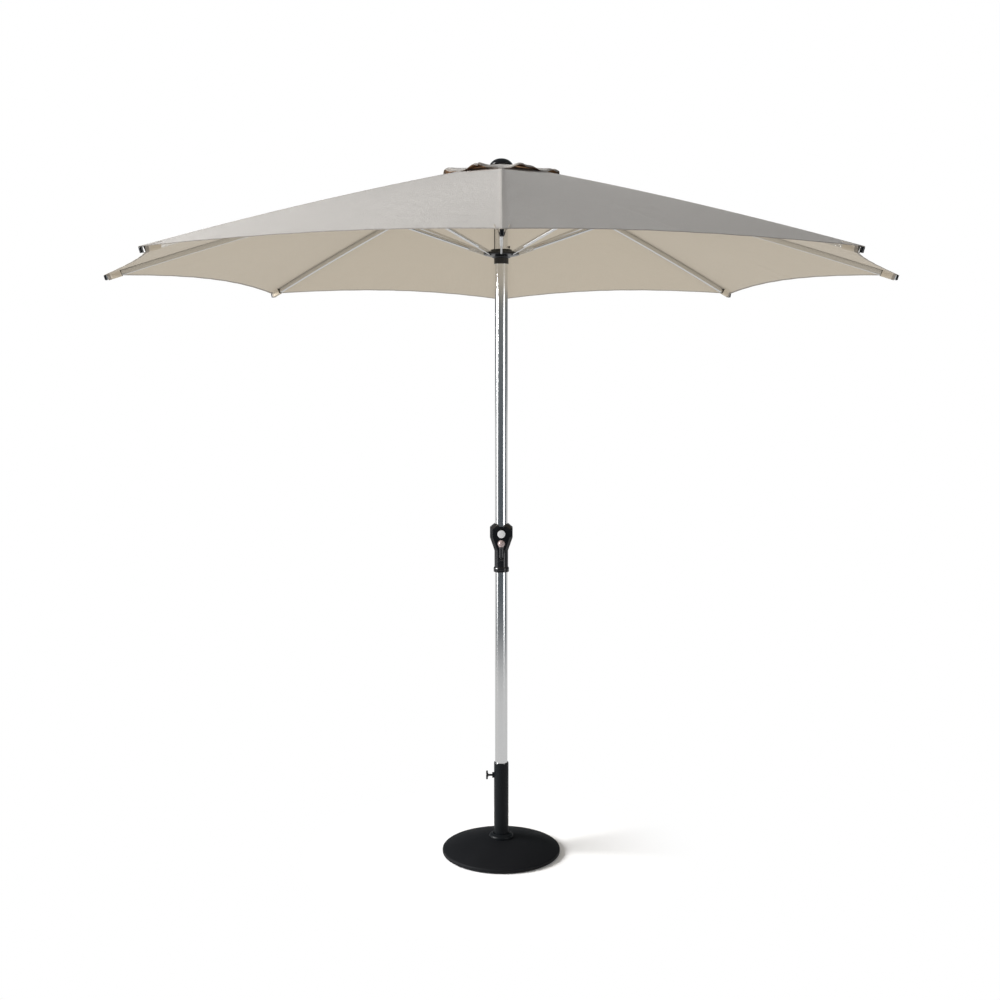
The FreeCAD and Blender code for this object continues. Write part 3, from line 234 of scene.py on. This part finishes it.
mouldedLook = {"grainScale": 1400.0, "patchScale": 14.0, "dark": (0.003, 0.0033, 0.004),
               "light": (0.007, 0.0073, 0.0085), "roughLow": 0.12, "roughHigh": 0.24, "bump": 0.12,
               "depth": 0.0003, "specular": 0.5}
powderLook = {"grainScale": 700.0, "patchScale": 7.0, "dark": (0.003, 0.004, 0.005),
              "light": (0.006, 0.0075, 0.009), "roughLow": 0.34, "roughHigh": 0.46, "bump": 0.35,
              "depth": 0.0005, "specular": 0.14}
concreteLook = {"grainScale": 420.0, "patchScale": 5.0, "dark": (0.003, 0.0033, 0.0042),
                "light": (0.0075, 0.008, 0.0095), "roughLow": 0.5, "roughHigh": 0.7, "bump": 0.6,
                "depth": 0.0012, "specular": 0.12}
rubberLook = {"grainScale": 500.0, "patchScale": 12.0, "dark": (0.008, 0.008, 0.008),
              "light": (0.016, 0.016, 0.016), "roughLow": 0.75, "roughHigh": 0.9, "bump": 0.5,
              "depth": 0.0006, "specular": 0.2}
zincLook = {"grainScale": 260.0, "patchScale": 60.0, "dark": (0.45, 0.45, 0.46),
            "light": (0.6, 0.6, 0.6), "roughLow": 0.28, "roughHigh": 0.42, "bump": 0.1,
            "depth": 0.0002, "metal": 1.0}
discLook = {"grainScale": 500.0, "patchScale": 40.0, "dark": (0.62, 0.63, 0.64),
            "light": (0.74, 0.74, 0.74), "roughLow": 0.22, "roughHigh": 0.32, "bump": 0.05,
            "depth": 0.0001, "metal": 0.25, "coat": 0.3}

mouldedBlack = grainyMaterial("mouldedBlack", mouldedLook)
powderBlack = grainyMaterial("powderBlack", powderLook)
coatedConcrete = grainyMaterial("coatedConcrete", concreteLook)
padRubber = grainyMaterial("padRubber", rubberLook)
zincSteel = grainyMaterial("zincSteel", zincLook)
silverDisc = grainyMaterial("silverDisc", discLook)


def gripMaterial(look):
    # the grip is black up its stem, and its round head is painted a pinkish grey under a clear gloss: a
    # painted highlight on the glossy head
    material, tree, shader, link = startMaterial("gripWithPaintedHighlight")
    place = addNode(tree, "ShaderNodeTexCoord")
    split = addNode(tree, "ShaderNodeSeparateXYZ")
    link(place.outputs["Object"], split.inputs["Vector"])
    grain = addNode(tree, "ShaderNodeGroup", node_tree=fineGrain)
    grain.inputs["Scale"].default_value = look["grainScale"]
    grain.inputs["Patch"].default_value = look["patchScale"]
    link(place.outputs["Object"], grain.inputs["Vector"])
    head = fadeBetween(tree, split.outputs["Z"], look["headEnds"])
    headHighlightTint = mixColours(tree, grain.outputs["Patches"], look["headHighlightDark"], look["headHighlightBright"])
    stem = mixColours(tree, grain.outputs["Patches"], look["stemDark"], look["stemLight"])
    link(mixColours(tree, head, stem, headHighlightTint), shader.inputs["Base Color"])
    polish = remap(tree, grain.outputs["Height"], look["roughLow"], look["roughHigh"])
    link(polish, shader.inputs["Roughness"])
    shader.inputs["Coat Weight"].default_value = look["coat"]
    return material


headHeight = 0.027
headBlend = 0.003
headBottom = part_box("grip_sleeve")[1].z - headHeight
# the head's pinkish grey colours are a painted highlight on the glossy head
gripWithPaintedHighlight = gripMaterial({
    "headEnds": (headBottom, headBottom + headBlend), "headHighlightDark": (0.22, 0.17, 0.165),
    "headHighlightBright": (0.34, 0.27, 0.26), "stemDark": (0.006, 0.006, 0.007),
    "stemLight": (0.012, 0.012, 0.013), "grainScale": 600.0, "patchScale": 60.0,
    "roughLow": 0.12, "roughHigh": 0.2, "coat": 0.5})


def tubeMaterial(name, look):
    # drawn aluminium: hair-fine streaks along the tube, and a slow change in polish
    material, tree, shader, link = startMaterial(name)
    place = addNode(tree, "ShaderNodeTexCoord")
    stretch = addNode(tree, "ShaderNodeMapping")
    stretch.inputs["Scale"].default_value = look["stretch"]
    link(place.outputs["Object"], stretch.inputs["Vector"])
    streak = addNode(tree, "ShaderNodeTexNoise", Scale=1.0, Detail=5.0, Roughness=0.6)
    link(stretch.outputs["Vector"], streak.inputs["Vector"])
    grain = addNode(tree, "ShaderNodeGroup", node_tree=fineGrain)
    grain.inputs["Patch"].default_value = look["patchScale"]
    link(place.outputs["Object"], grain.inputs["Vector"])
    link(mixColours(tree, streak.outputs["Fac"], look["dark"], look["light"]), shader.inputs["Base Color"])
    polish = remap(tree, grain.outputs["Patches"], look["roughLow"], look["roughHigh"])
    link(polish, shader.inputs["Roughness"])
    shader.inputs["Metallic"].default_value = 1.0
    return material


polishedTube = tubeMaterial("polishedTube", {
    "stretch": (700.0, 700.0, 0.6), "patchScale": 3.0, "dark": (0.74, 0.745, 0.75),
    "light": (0.86, 0.86, 0.855), "roughLow": 0.15, "roughHigh": 0.2})
satinTube = tubeMaterial("satinTube", {
    "stretch": (400.0, 400.0, 60.0), "patchScale": 6.0, "dark": (0.72, 0.72, 0.715),
    "light": (0.84, 0.84, 0.83), "roughLow": 0.2, "roughHigh": 0.3})


def clothMaterial(name, look):
    # woven polyester: grey on its outer face and beige on its inner face; the vent's deeper orange-brown
    # inner face is painted light shining through the beige cloth
    material, tree, shader, link = startMaterial(name)
    uv = addNode(tree, "ShaderNodeUVMap", uv_map="clothUV")
    weave = addNode(tree, "ShaderNodeGroup", node_tree=plainWeave)
    link(uv.outputs["UV"], weave.inputs["Vector"])
    grain = addNode(tree, "ShaderNodeGroup", node_tree=fineGrain)
    grain.inputs["Scale"].default_value = look["foldScale"]
    link(uv.outputs["UV"], grain.inputs["Vector"])
    outer = mixColours(tree, weave.outputs["Slubs"], look["outerDark"], look["outerLight"])
    inner = mixColours(tree, weave.outputs["Slubs"], look["innerDark"], look["innerLight"])
    faces = mixColours(tree, readAttribute(tree, "innerFace"), outer, inner)
    # doubled cloth at the seams and the hem, with a row of stitches near its edge
    fromSeam = readAttribute(tree, "fromSeam")
    fromHem = readAttribute(tree, "fromHem")
    doubled = maths(tree, "MAXIMUM", maths(tree, "LESS_THAN", fromSeam, look["seamHalf"]),
                    maths(tree, "LESS_THAN", fromHem, look["hemBand"]))
    outside = maths(tree, "SUBTRACT", 1.0, readAttribute(tree, "innerFace"))
    strength = maths(tree, "MULTIPLY_ADD", outside, look["doubledOutside"], look["doubledInside"])
    shown = maths(tree, "MULTIPLY", doubled, strength)
    faces = mixColours(tree, shown, faces, look["doubled"])
    bound = maths(tree, "LESS_THAN", fromHem, look["binding"])
    bound = maths(tree, "MULTIPLY", bound, look["bindingShare"])
    faces = mixColours(tree, bound, faces, look["bindingColour"])
    seamRow = maths(tree, "COMPARE", fromSeam, look["seamHalf"] * look["seamRowAt"], look["rowHalf"])
    hemRow = maths(tree, "COMPARE", fromHem, look["hemBand"] * look["hemRowAt"], look["rowHalf"])
    rows = maths(tree, "MAXIMUM", seamRow, hemRow)
    split = addNode(tree, "ShaderNodeSeparateXYZ")
    link(uv.outputs["UV"], split.inputs["Vector"])
    run = maths(tree, "ADD", split.outputs["X"], split.outputs["Y"])
    beat = maths(tree, "FRACT", maths(tree, "MULTIPLY", run, look["stitchesPerMetre"]))
    dash = maths(tree, "GREATER_THAN", beat, look["stitchGap"])
    stitches = maths(tree, "MULTIPLY", rows, dash)
    sewn = maths(tree, "MULTIPLY", stitches, look["threadShare"])
    link(mixColours(tree, sewn, faces, look["thread"]), shader.inputs["Base Color"])
    polish = remap(tree, weave.outputs["Slubs"], look["roughLow"], look["roughHigh"])
    link(polish, shader.inputs["Roughness"])
    soft = addNode(tree, "ShaderNodeBump", Strength=look["foldBump"], Distance=look["foldDepth"])
    link(grain.outputs["Height"], soft.inputs["Height"])
    fine = addNode(tree, "ShaderNodeBump", Strength=look["weaveBump"], Distance=look["weaveDepth"])
    link(maths(tree, "ADD", weave.outputs["Height"], stitches), fine.inputs["Height"])
    link(soft.outputs["Normal"], fine.inputs["Normal"])
    link(fine.outputs["Normal"], shader.inputs["Normal"])
    shader.inputs["Sheen Weight"].default_value = look["sheen"]
    shader.inputs["Specular IOR Level"].default_value = look["specular"]
    return material


canopyLook = {"outerDark": (0.40, 0.378, 0.352), "outerLight": (0.44, 0.417, 0.39),
              "innerDark": (0.435, 0.378, 0.295), "innerLight": (0.485, 0.424, 0.332),
              "doubled": (0.38, 0.35, 0.315), "thread": (0.5, 0.47, 0.43),
              "seamHalf": 0.009, "hemBand": 0.018, "binding": 0.011,
              "bindingColour": (0.19, 0.168, 0.145), "bindingShare": 0.8,
              "doubledOutside": 0.3, "doubledInside": 0.08, "seamRowAt": 0.72, "hemRowAt": 0.8,
              "rowHalf": 0.0007, "stitchesPerMetre": 260.0, "stitchGap": 0.3, "threadShare": 0.6,
              "foldScale": 9.0, "foldBump": 0.5, "foldDepth": 0.006, "weaveBump": 0.35,
              "weaveDepth": 0.0004, "roughLow": 0.72, "roughHigh": 0.86, "sheen": 0.12,
              "specular": 0.3}
# the vent's orange-brown inner colours are painted backlight: the beige cloth painted as lit through from
# above and shaded below
backlitVentLook = {**canopyLook, "innerDark": (0.42, 0.2, 0.075), "innerLight": (0.62, 0.34, 0.15),
            "foldScale": 14.0}
canopyCloth = clothMaterial("canopyCloth", canopyLook)
backlitVentCloth = clothMaterial("backlitVentCloth", backlitVentLook)
print("materials made")


# canopy

canopy = {"slope": 15.4, "ribLength": 1.494, "bow": 0.013, "ribHalfDepth": 0.009, "lift": 0.0014,
          "radius": 1.5, "opening": 0.11, "hemInset": 0.072, "thickness": 0.0008, "sag": 0.006,
          "rows": 64, "columns": 48, "rowCrowd": 1.5, "columnCrowd": 1.7, "seamRise": 0.0006,
          "ripple": 0.0005, "rippleCount": 9, "rippleTurn": 1.7, "closedShare": 0.152,
          "flat": (1.43, 1.15), "hemLoss": 0.03}
bowRadius = canopy["ribLength"] ** 2 / 8 / canopy["bow"] + canopy["bow"] / 2
startSlope = math.radians(canopy["slope"]) - math.asin(canopy["ribLength"] / 2 / bowRadius)
bowCentre = (hubRadius - bowRadius * math.sin(startSlope), hubPin.z - bowRadius * math.cos(startSlope))


def ribHeight(radius, lift):
    return bowCentre[1] + math.sqrt((bowRadius + lift) ** 2 - (radius - bowCentre[0]) ** 2)


# a distance in metres that keeps the seam's band and stitches off a piece
farFromSeam = 1.0


def clothSheet(columns, rows, shape, thickness):
    # an open grid shaped by a function of (along, across), then given its inner face
    sheet = bmesh.new()
    bmesh.ops.create_grid(sheet, x_segments=rows, y_segments=columns, size=1.0)
    uv = sheet.loops.layers.uv.new("clothUV")
    inner = sheet.verts.layers.float.new("innerFace")
    fromSeam = sheet.verts.layers.float.new("fromSeam")
    fromHem = sheet.verts.layers.float.new("fromHem")
    for vert in sheet.verts:
        place, flat, toSeam, toHem = shape((vert.co.x + 1) / 2, vert.co.y)
        vert.co = place
        vert[fromSeam], vert[fromHem] = toSeam, toHem
        for loop in vert.link_loops:
            loop[uv].uv = flat
    bmesh.ops.recalc_face_normals(sheet, faces=sheet.faces)
    if sum(face.normal.z for face in sheet.faces) < 0:
        bmesh.ops.reverse_faces(sheet, faces=sheet.faces)
    sheet.normal_update()
    whole = sheet.verts[:] + sheet.edges[:] + sheet.faces[:]
    below = bmesh.ops.duplicate(sheet, geom=whole)["geom"]
    lower = [item for item in below if isinstance(item, bmesh.types.BMVert)]
    moved = [vert.co - vert.normal * thickness for vert in lower]
    for vert, place in zip(lower, moved):
        vert[inner] = 1.0
        vert.co = place
    turned = [item for item in below if isinstance(item, bmesh.types.BMFace)]
    bmesh.ops.reverse_faces(sheet, faces=turned)
    rims = [edge for edge in sheet.edges if edge.is_boundary]
    bmesh.ops.bridge_loops(sheet, edges=rims)
    bmesh.ops.recalc_face_normals(sheet, faces=sheet.faces)
    return sheet


def gorePoint(angle, across, level):
    # a point of the cloth over one rib: the cloth runs straight from rib to mid-gore
    middle = angle + math.copysign(ribStep / 2, across)
    out = level * math.cos(ribStep / 2)
    side = out * math.tan(ribStep / 2) * (1 - abs(across)) * -math.copysign(1, across)
    return Vector((out * math.cos(middle) - side * math.sin(middle),
                   out * math.sin(middle) + side * math.cos(middle), 0))


def crowded(share, power):
    return math.copysign(abs(share) ** power, share)


def mainShape(angle):
    c = canopy

    def shape(along, across):
        across = crowded(across, c["columnCrowd"])
        share = 1 - crowded(1 - along, c["rowCrowd"])
        hollow = c["hemInset"] / math.cos(ribStep / 2) * (1 - (1 - abs(across)) ** 2)
        edge = c["radius"] - hollow
        level = c["opening"] + (edge - c["opening"]) * share
        toHem = edge - level
        toSeam = level * math.sin(ribStep / 2) * abs(across)
        place = gorePoint(angle, across, level)
        slack = 1 - (1 - abs(across)) ** 2
        dip = c["sag"] * slack * math.sin(math.pi * share)
        beat = math.sin(c["rippleCount"] * across * math.pi + c["rippleTurn"] * angle)
        wave = c["ripple"] * slack * share ** 4 * beat
        doubled = toSeam < canopyLook["seamHalf"] or toHem < canopyLook["hemBand"]
        fold = c["seamRise"] if doubled else 0
        place.z = ribHeight(level, c["ribHalfDepth"] + c["lift"] + c["thickness"] + fold) - dip + wave
        return place, (level, math.copysign(toSeam, across)), toSeam, toHem

    return shape


def addCloth(name, mesh, number, material, replaced=()):
    piece = newPiece(name, mesh, "rib_%d" % number, material, replaced)
    shadeSmooth(piece)
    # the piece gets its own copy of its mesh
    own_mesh(piece)


def makeCanopy():
    c = canopy
    for number in range(1, ribCount + 1):
        mesh = clothSheet(c["columns"], c["rows"], mainShape(ribAngle(number)), c["thickness"])
        addCloth("canopy_panel_%d" % number, mesh, number, canopyCloth,
                 ["canopy_%d" % number])


makeCanopy()
print("canopy made")


# vent: a small second canopy, drawn down on the ribs and arched up between them

vent = {"inner": 0.05, "outer": 0.222, "innerHeight": 0.0135, "arch": 0.025, "archPower": 1.6,
        "curl": 0.009, "curlAtRib": 0.25, "overhang": 0.021, "edgeLift": 0.0045, "ruffle": 0.005,
        "ruffleCount": 7.0, "ruffleTurn": 2.3, "rows": 22, "columns": 32, "crowd": 1.2,
        "thickness": 0.0008, "flat": (0.18, 0.18), "closedShare": 0.4}
crown = {"inner": 0.0105, "outer": 0.06, "lift": 0.0012, "fall": 0.004, "rows": 6, "columns": 48,
         "weld": 0.00002}


def ventShape(angle):
    v = vent

    def shape(along, across):
        slack = math.sin(math.pi / 2 * abs(across)) ** 2
        share = 1 - crowded(1 - along, v["crowd"])
        edge = v["outer"] + v["overhang"] * slack
        level = v["inner"] + (edge - v["inner"]) * share
        place = gorePoint(angle, across, level)
        top = hubPin.z + v["innerHeight"]
        low = ribHeight(edge, canopy["ribHalfDepth"] + canopy["lift"] + v["edgeLift"])
        rise = v["arch"] * slack * share ** v["archPower"]
        beat = math.sin(v["ruffleCount"] * across + v["ruffleTurn"] * angle)
        ruffle = v["ruffle"] * share ** 3 * beat * slack
        # the last tenth of the cloth curls down
        curled = max(0.0, share * 10 - 9) ** 1.5
        hang = v["curl"] * curled * (v["curlAtRib"] + (1 - v["curlAtRib"]) * slack)
        place.z = top + (low - top) * share + rise + ruffle - hang
        toSeam = level * math.sin(ribStep / 2) * abs(across)
        return place, (level, math.copysign(toSeam, across)), toSeam, edge - level

    return shape


def makeVent():
    v = vent
    for number in range(1, ribCount + 1):
        mesh = clothSheet(v["columns"], v["rows"], ventShape(ribAngle(number)), v["thickness"])
        addCloth("vent_panel_%d" % number, mesh, number, backlitVentCloth)


def makeCrown():
    # the sewn ring that the finial clamps on the hub
    c = crown

    def shape(along, across):
        angle = across * math.pi
        level = c["inner"] + (c["outer"] - c["inner"]) * along
        height = hubPin.z + vent["innerHeight"] + c["lift"] - c["fall"] * along ** 2
        place = Vector((level * math.cos(angle), level * math.sin(angle), height))
        return place, (level, angle * level), farFromSeam, c["outer"] - level

    mesh = clothSheet(c["columns"], c["rows"], shape, vent["thickness"])
    bmesh.ops.remove_doubles(mesh, verts=mesh.verts, dist=c["weld"])
    piece = newPiece("vent_crown", mesh, "pole", backlitVentCloth)
    shadeSmooth(piece)


makeVent()
makeCrown()
print("vent made")


# pockets that hold the rib ends under the hem

pocket = {"start": 1.436, "end": 1.489, "rows": 12, "columns": 24, "thickness": 0.0009,
          "taper": 0.08, "hemFall": 0.05,
          "path": [(-0.019, 0.0098), (-0.0105, 0.006), (-0.0082, -0.006), (-0.006, -0.0108),
                   (0.0, -0.0118), (0.006, -0.0108), (0.0082, -0.006), (0.0105, 0.006),
                   (0.019, 0.0098)]}


def ribPoint(angle, along, across, lift):
    turn = startSlope + along / bowRadius
    radius = bowCentre[0] + (bowRadius + lift) * math.sin(turn)
    return Vector((radius * math.cos(angle) - across * math.sin(angle),
                   radius * math.sin(angle) + across * math.cos(angle),
                   bowCentre[1] + (bowRadius + lift) * math.cos(turn)))


def makePockets():
    p = pocket
    for number in range(1, ribCount + 1):
        angle = ribAngle(number)

        def shape(along, across):
            spot = (across + 1) / 2 * (len(p["path"]) - 1)
            first = min(int(spot), len(p["path"]) - 2)
            a, b = Vector(p["path"][first]), Vector(p["path"][first + 1])
            side, lift = a.lerp(b, spot - first)
            run = p["start"] + (p["end"] - p["start"]) * along
            narrow = 1 + p["taper"] * math.cos(math.pi * along)
            place = ribPoint(angle, run, side * narrow, lift)
            return place, (run, side), farFromSeam, (1 - along) * p["hemFall"]

        mesh = clothSheet(p["columns"], p["rows"], shape, p["thickness"])
        # both faces take the inner colour
        for vert in mesh.verts:
            vert[mesh.verts.layers.float["innerFace"]] = 1.0
        piece = newPiece("tip_pocket_%d" % number, mesh, "rib_%d" % number,
                         canopyCloth)
        shadeSmooth(piece)


makePockets()
print("pockets made")


# carried-over nodes get their finish

finishes = [
    (coatedConcrete, ["base_plate"]),
    (powderBlack, ["base_tube", "base_collar", "lock_screw"]),
    (padRubber, ["base_feet"]),
    (zincSteel, ["anchor_bolts", "housing_screws", "hub_pins", "spool"]),
    (polishedTube, ["lower_pole", "upper_pole"]),
    (silverDisc, ["hub_cap"]),
    (gripWithPaintedHighlight, ["grip_sleeve"]),
    (mouldedBlack, ["tube_sleeve", "pole_joiner", "pole_foot_cap", "housing_front", "housing_rear",
                    "top_hub", "finial", "lift_cord", "lock_pad", "lock_knob", "runner", "spool_cord",
                    "crank_arm", "grip_core", "top_pulley"]),
    (mouldedBlack, ["rib_fittings_%d" % number for number in range(1, ribCount + 1)]),
    (satinTube, ["rib_%d" % number for number in range(1, ribCount + 1)]),
    (satinTube, ["strut_%d" % number for number in range(1, ribCount + 1)]),
]
for material, names in finishes:
    for name in names:
        for slotOfNode in frame["nodes"][name].material_slots:
            slotOfNode.material = material
print("finishes given")


# floor, light and camera

# fades run from the first distance to the second, in metres from the middle of the stand
floorLook = {"half": 60.0, "patchScale": 0.6, "dark": (0.9, 0.9, 0.9), "light": (0.95, 0.95, 0.95),
             "rough": 0.9, "specular": 0.1, "paperFade": (0.3, 0.8), "farFade": (2.9, 4.3),
             "behindFade": (2.5, 0.5), "glossyNear": (0.64, 0.64, 0.64),
             "glossyFar": (0.07, 0.085, 0.1)}


def makeFloor():
    look = floorLook
    floor = bmesh.new()
    bmesh.ops.create_grid(floor, x_segments=2, y_segments=2, size=look["half"])
    mesh = bpy.data.meshes.new("floor")
    floor.to_mesh(mesh)
    floor.free()
    piece = bpy.data.objects.new("floor", mesh)
    bpy.context.collection.objects.link(piece)
    # pale paper near the stand, fading into the white backdrop
    paper, tree, shader, link = startMaterial("studioPaper")
    grain = addNode(tree, "ShaderNodeGroup", node_tree=fineGrain)
    grain.inputs["Patch"].default_value = look["patchScale"]
    place = addNode(tree, "ShaderNodeTexCoord")
    link(place.outputs["Object"], grain.inputs["Vector"])
    link(mixColours(tree, grain.outputs["Patches"], look["dark"], look["light"]),
         shader.inputs["Base Color"])
    shader.inputs["Roughness"].default_value = look["rough"]
    shader.inputs["Specular IOR Level"].default_value = look["specular"]
    reach = addNode(tree, "ShaderNodeVectorMath", operation="LENGTH")
    link(place.outputs["Object"], reach.inputs[0])
    distance = reach.outputs["Value"]
    white = addNode(tree, "ShaderNodeEmission", Strength=1.0)
    # mirrored in the metal, the floor is dim, and dark where it is far and not behind the object
    split = addNode(tree, "ShaderNodeSeparateXYZ")
    link(place.outputs["Object"], split.inputs["Vector"])
    dark = maths(tree, "MULTIPLY", fadeBetween(tree, distance, look["farFade"]),
                 fadeBetween(tree, split.outputs["Y"], look["behindFade"]))
    dim = addNode(tree, "ShaderNodeEmission", Strength=1.0)
    link(mixColours(tree, dark, look["glossyNear"], look["glossyFar"]), dim.inputs["Color"])
    seen = addNode(tree, "ShaderNodeLightPath")
    far = addNode(tree, "ShaderNodeMixShader")
    link(seen.outputs["Is Glossy Ray"], far.inputs["Fac"])
    link(white.outputs["Emission"], far.inputs[1])
    link(dim.outputs["Emission"], far.inputs[2])
    choose = addNode(tree, "ShaderNodeMixShader")
    link(fadeBetween(tree, distance, look["paperFade"]), choose.inputs["Fac"])
    link(shader.outputs["BSDF"], choose.inputs[1])
    link(far.outputs["Shader"], choose.inputs[2])
    link(choose.outputs["Shader"], tree.nodes["Material Output"].inputs["Surface"])
    mesh.materials.append(paper)


# places, targets and sizes in metres, power in watts
lights = [
    {"name": "keyLeft", "place": (-6.6, -1.2, 3.86), "target": (0, -0.3, 2.3), "size": (3.2, 3.2),
     "power": 1090},
    {"name": "stripLeft", "place": (-4.4, -0.9, 1.7), "target": (0, 0, 1.5), "size": (1.2, 3.4),
     "power": 30},
    {"name": "stripRight", "place": (3.4, -2.5, 1.7), "target": (0, 0, 1.5), "size": (1.5, 3.4),
     "power": 44},
]


def makeLight(name, place, target, size, power):
    lamp = bpy.data.lights.new(name, "AREA")
    lamp.shape = "RECTANGLE"
    lamp.size, lamp.size_y = size
    lamp.energy = power
    holder = bpy.data.objects.new(name, lamp)
    holder.location = place
    holder.rotation_euler = (Vector(target) - Vector(place)).to_track_quat("-Z", "Y").to_euler()
    bpy.context.collection.objects.link(holder)


roomLook = {"seen": (1, 1, 1, 1), "fill": (1, 1, 1, 1), "fillPower": 0.3,
            "mirrored": (0.86, 0.95, 1, 1), "mirroredPower": 0.17}


def makeWorld():
    # the camera sees white, the object is lit by a weaker room, and metal mirrors a darker one
    look = roomLook
    world = bpy.data.worlds.new("studio")
    world.use_nodes = True
    tree = world.node_tree
    link = tree.links.new
    backdrop = tree.nodes["Background"]
    backdrop.inputs["Color"].default_value = look["seen"]
    room = addNode(tree, "ShaderNodeBackground", Color=look["fill"], Strength=look["fillPower"])
    dark = addNode(tree, "ShaderNodeBackground", Color=look["mirrored"],
                   Strength=look["mirroredPower"])
    seen = addNode(tree, "ShaderNodeLightPath")
    mirrored = addNode(tree, "ShaderNodeMixShader")
    link(seen.outputs["Is Glossy Ray"], mirrored.inputs["Fac"])
    link(room.outputs["Background"], mirrored.inputs[1])
    link(dark.outputs["Background"], mirrored.inputs[2])
    choose = addNode(tree, "ShaderNodeMixShader")
    link(seen.outputs["Is Camera Ray"], choose.inputs["Fac"])
    link(mirrored.outputs["Shader"], choose.inputs[1])
    link(backdrop.outputs["Background"], choose.inputs[2])
    link(choose.outputs["Shader"], tree.nodes["World Output"].inputs["Surface"])
    bpy.context.scene.world = world


# metres and radians; the lens and its sensor in millimetres
cameraView = {"place": (-0.005, -4.7258, 1.8728), "tiltDown": 0.1009, "lens": 44.568,
              "sensor": 36.0, "reach": 200}


def makeCamera():
    view = cameraView
    lens = bpy.data.cameras.new("camera")
    lens.sensor_width = view["sensor"]
    lens.lens = view["lens"]
    lens.clip_end = view["reach"]
    camera = bpy.data.objects.new("camera", lens)
    camera.location = view["place"]
    camera.rotation_euler = (math.pi / 2 - view["tiltDown"], 0, 0)
    bpy.context.collection.objects.link(camera)
    bpy.context.scene.camera = camera


makeFloor()
for light in lights:
    makeLight(**light)
makeWorld()
makeCamera()
bpy.context.scene.view_settings.view_transform = "Standard"
print("stage, lights and camera made")
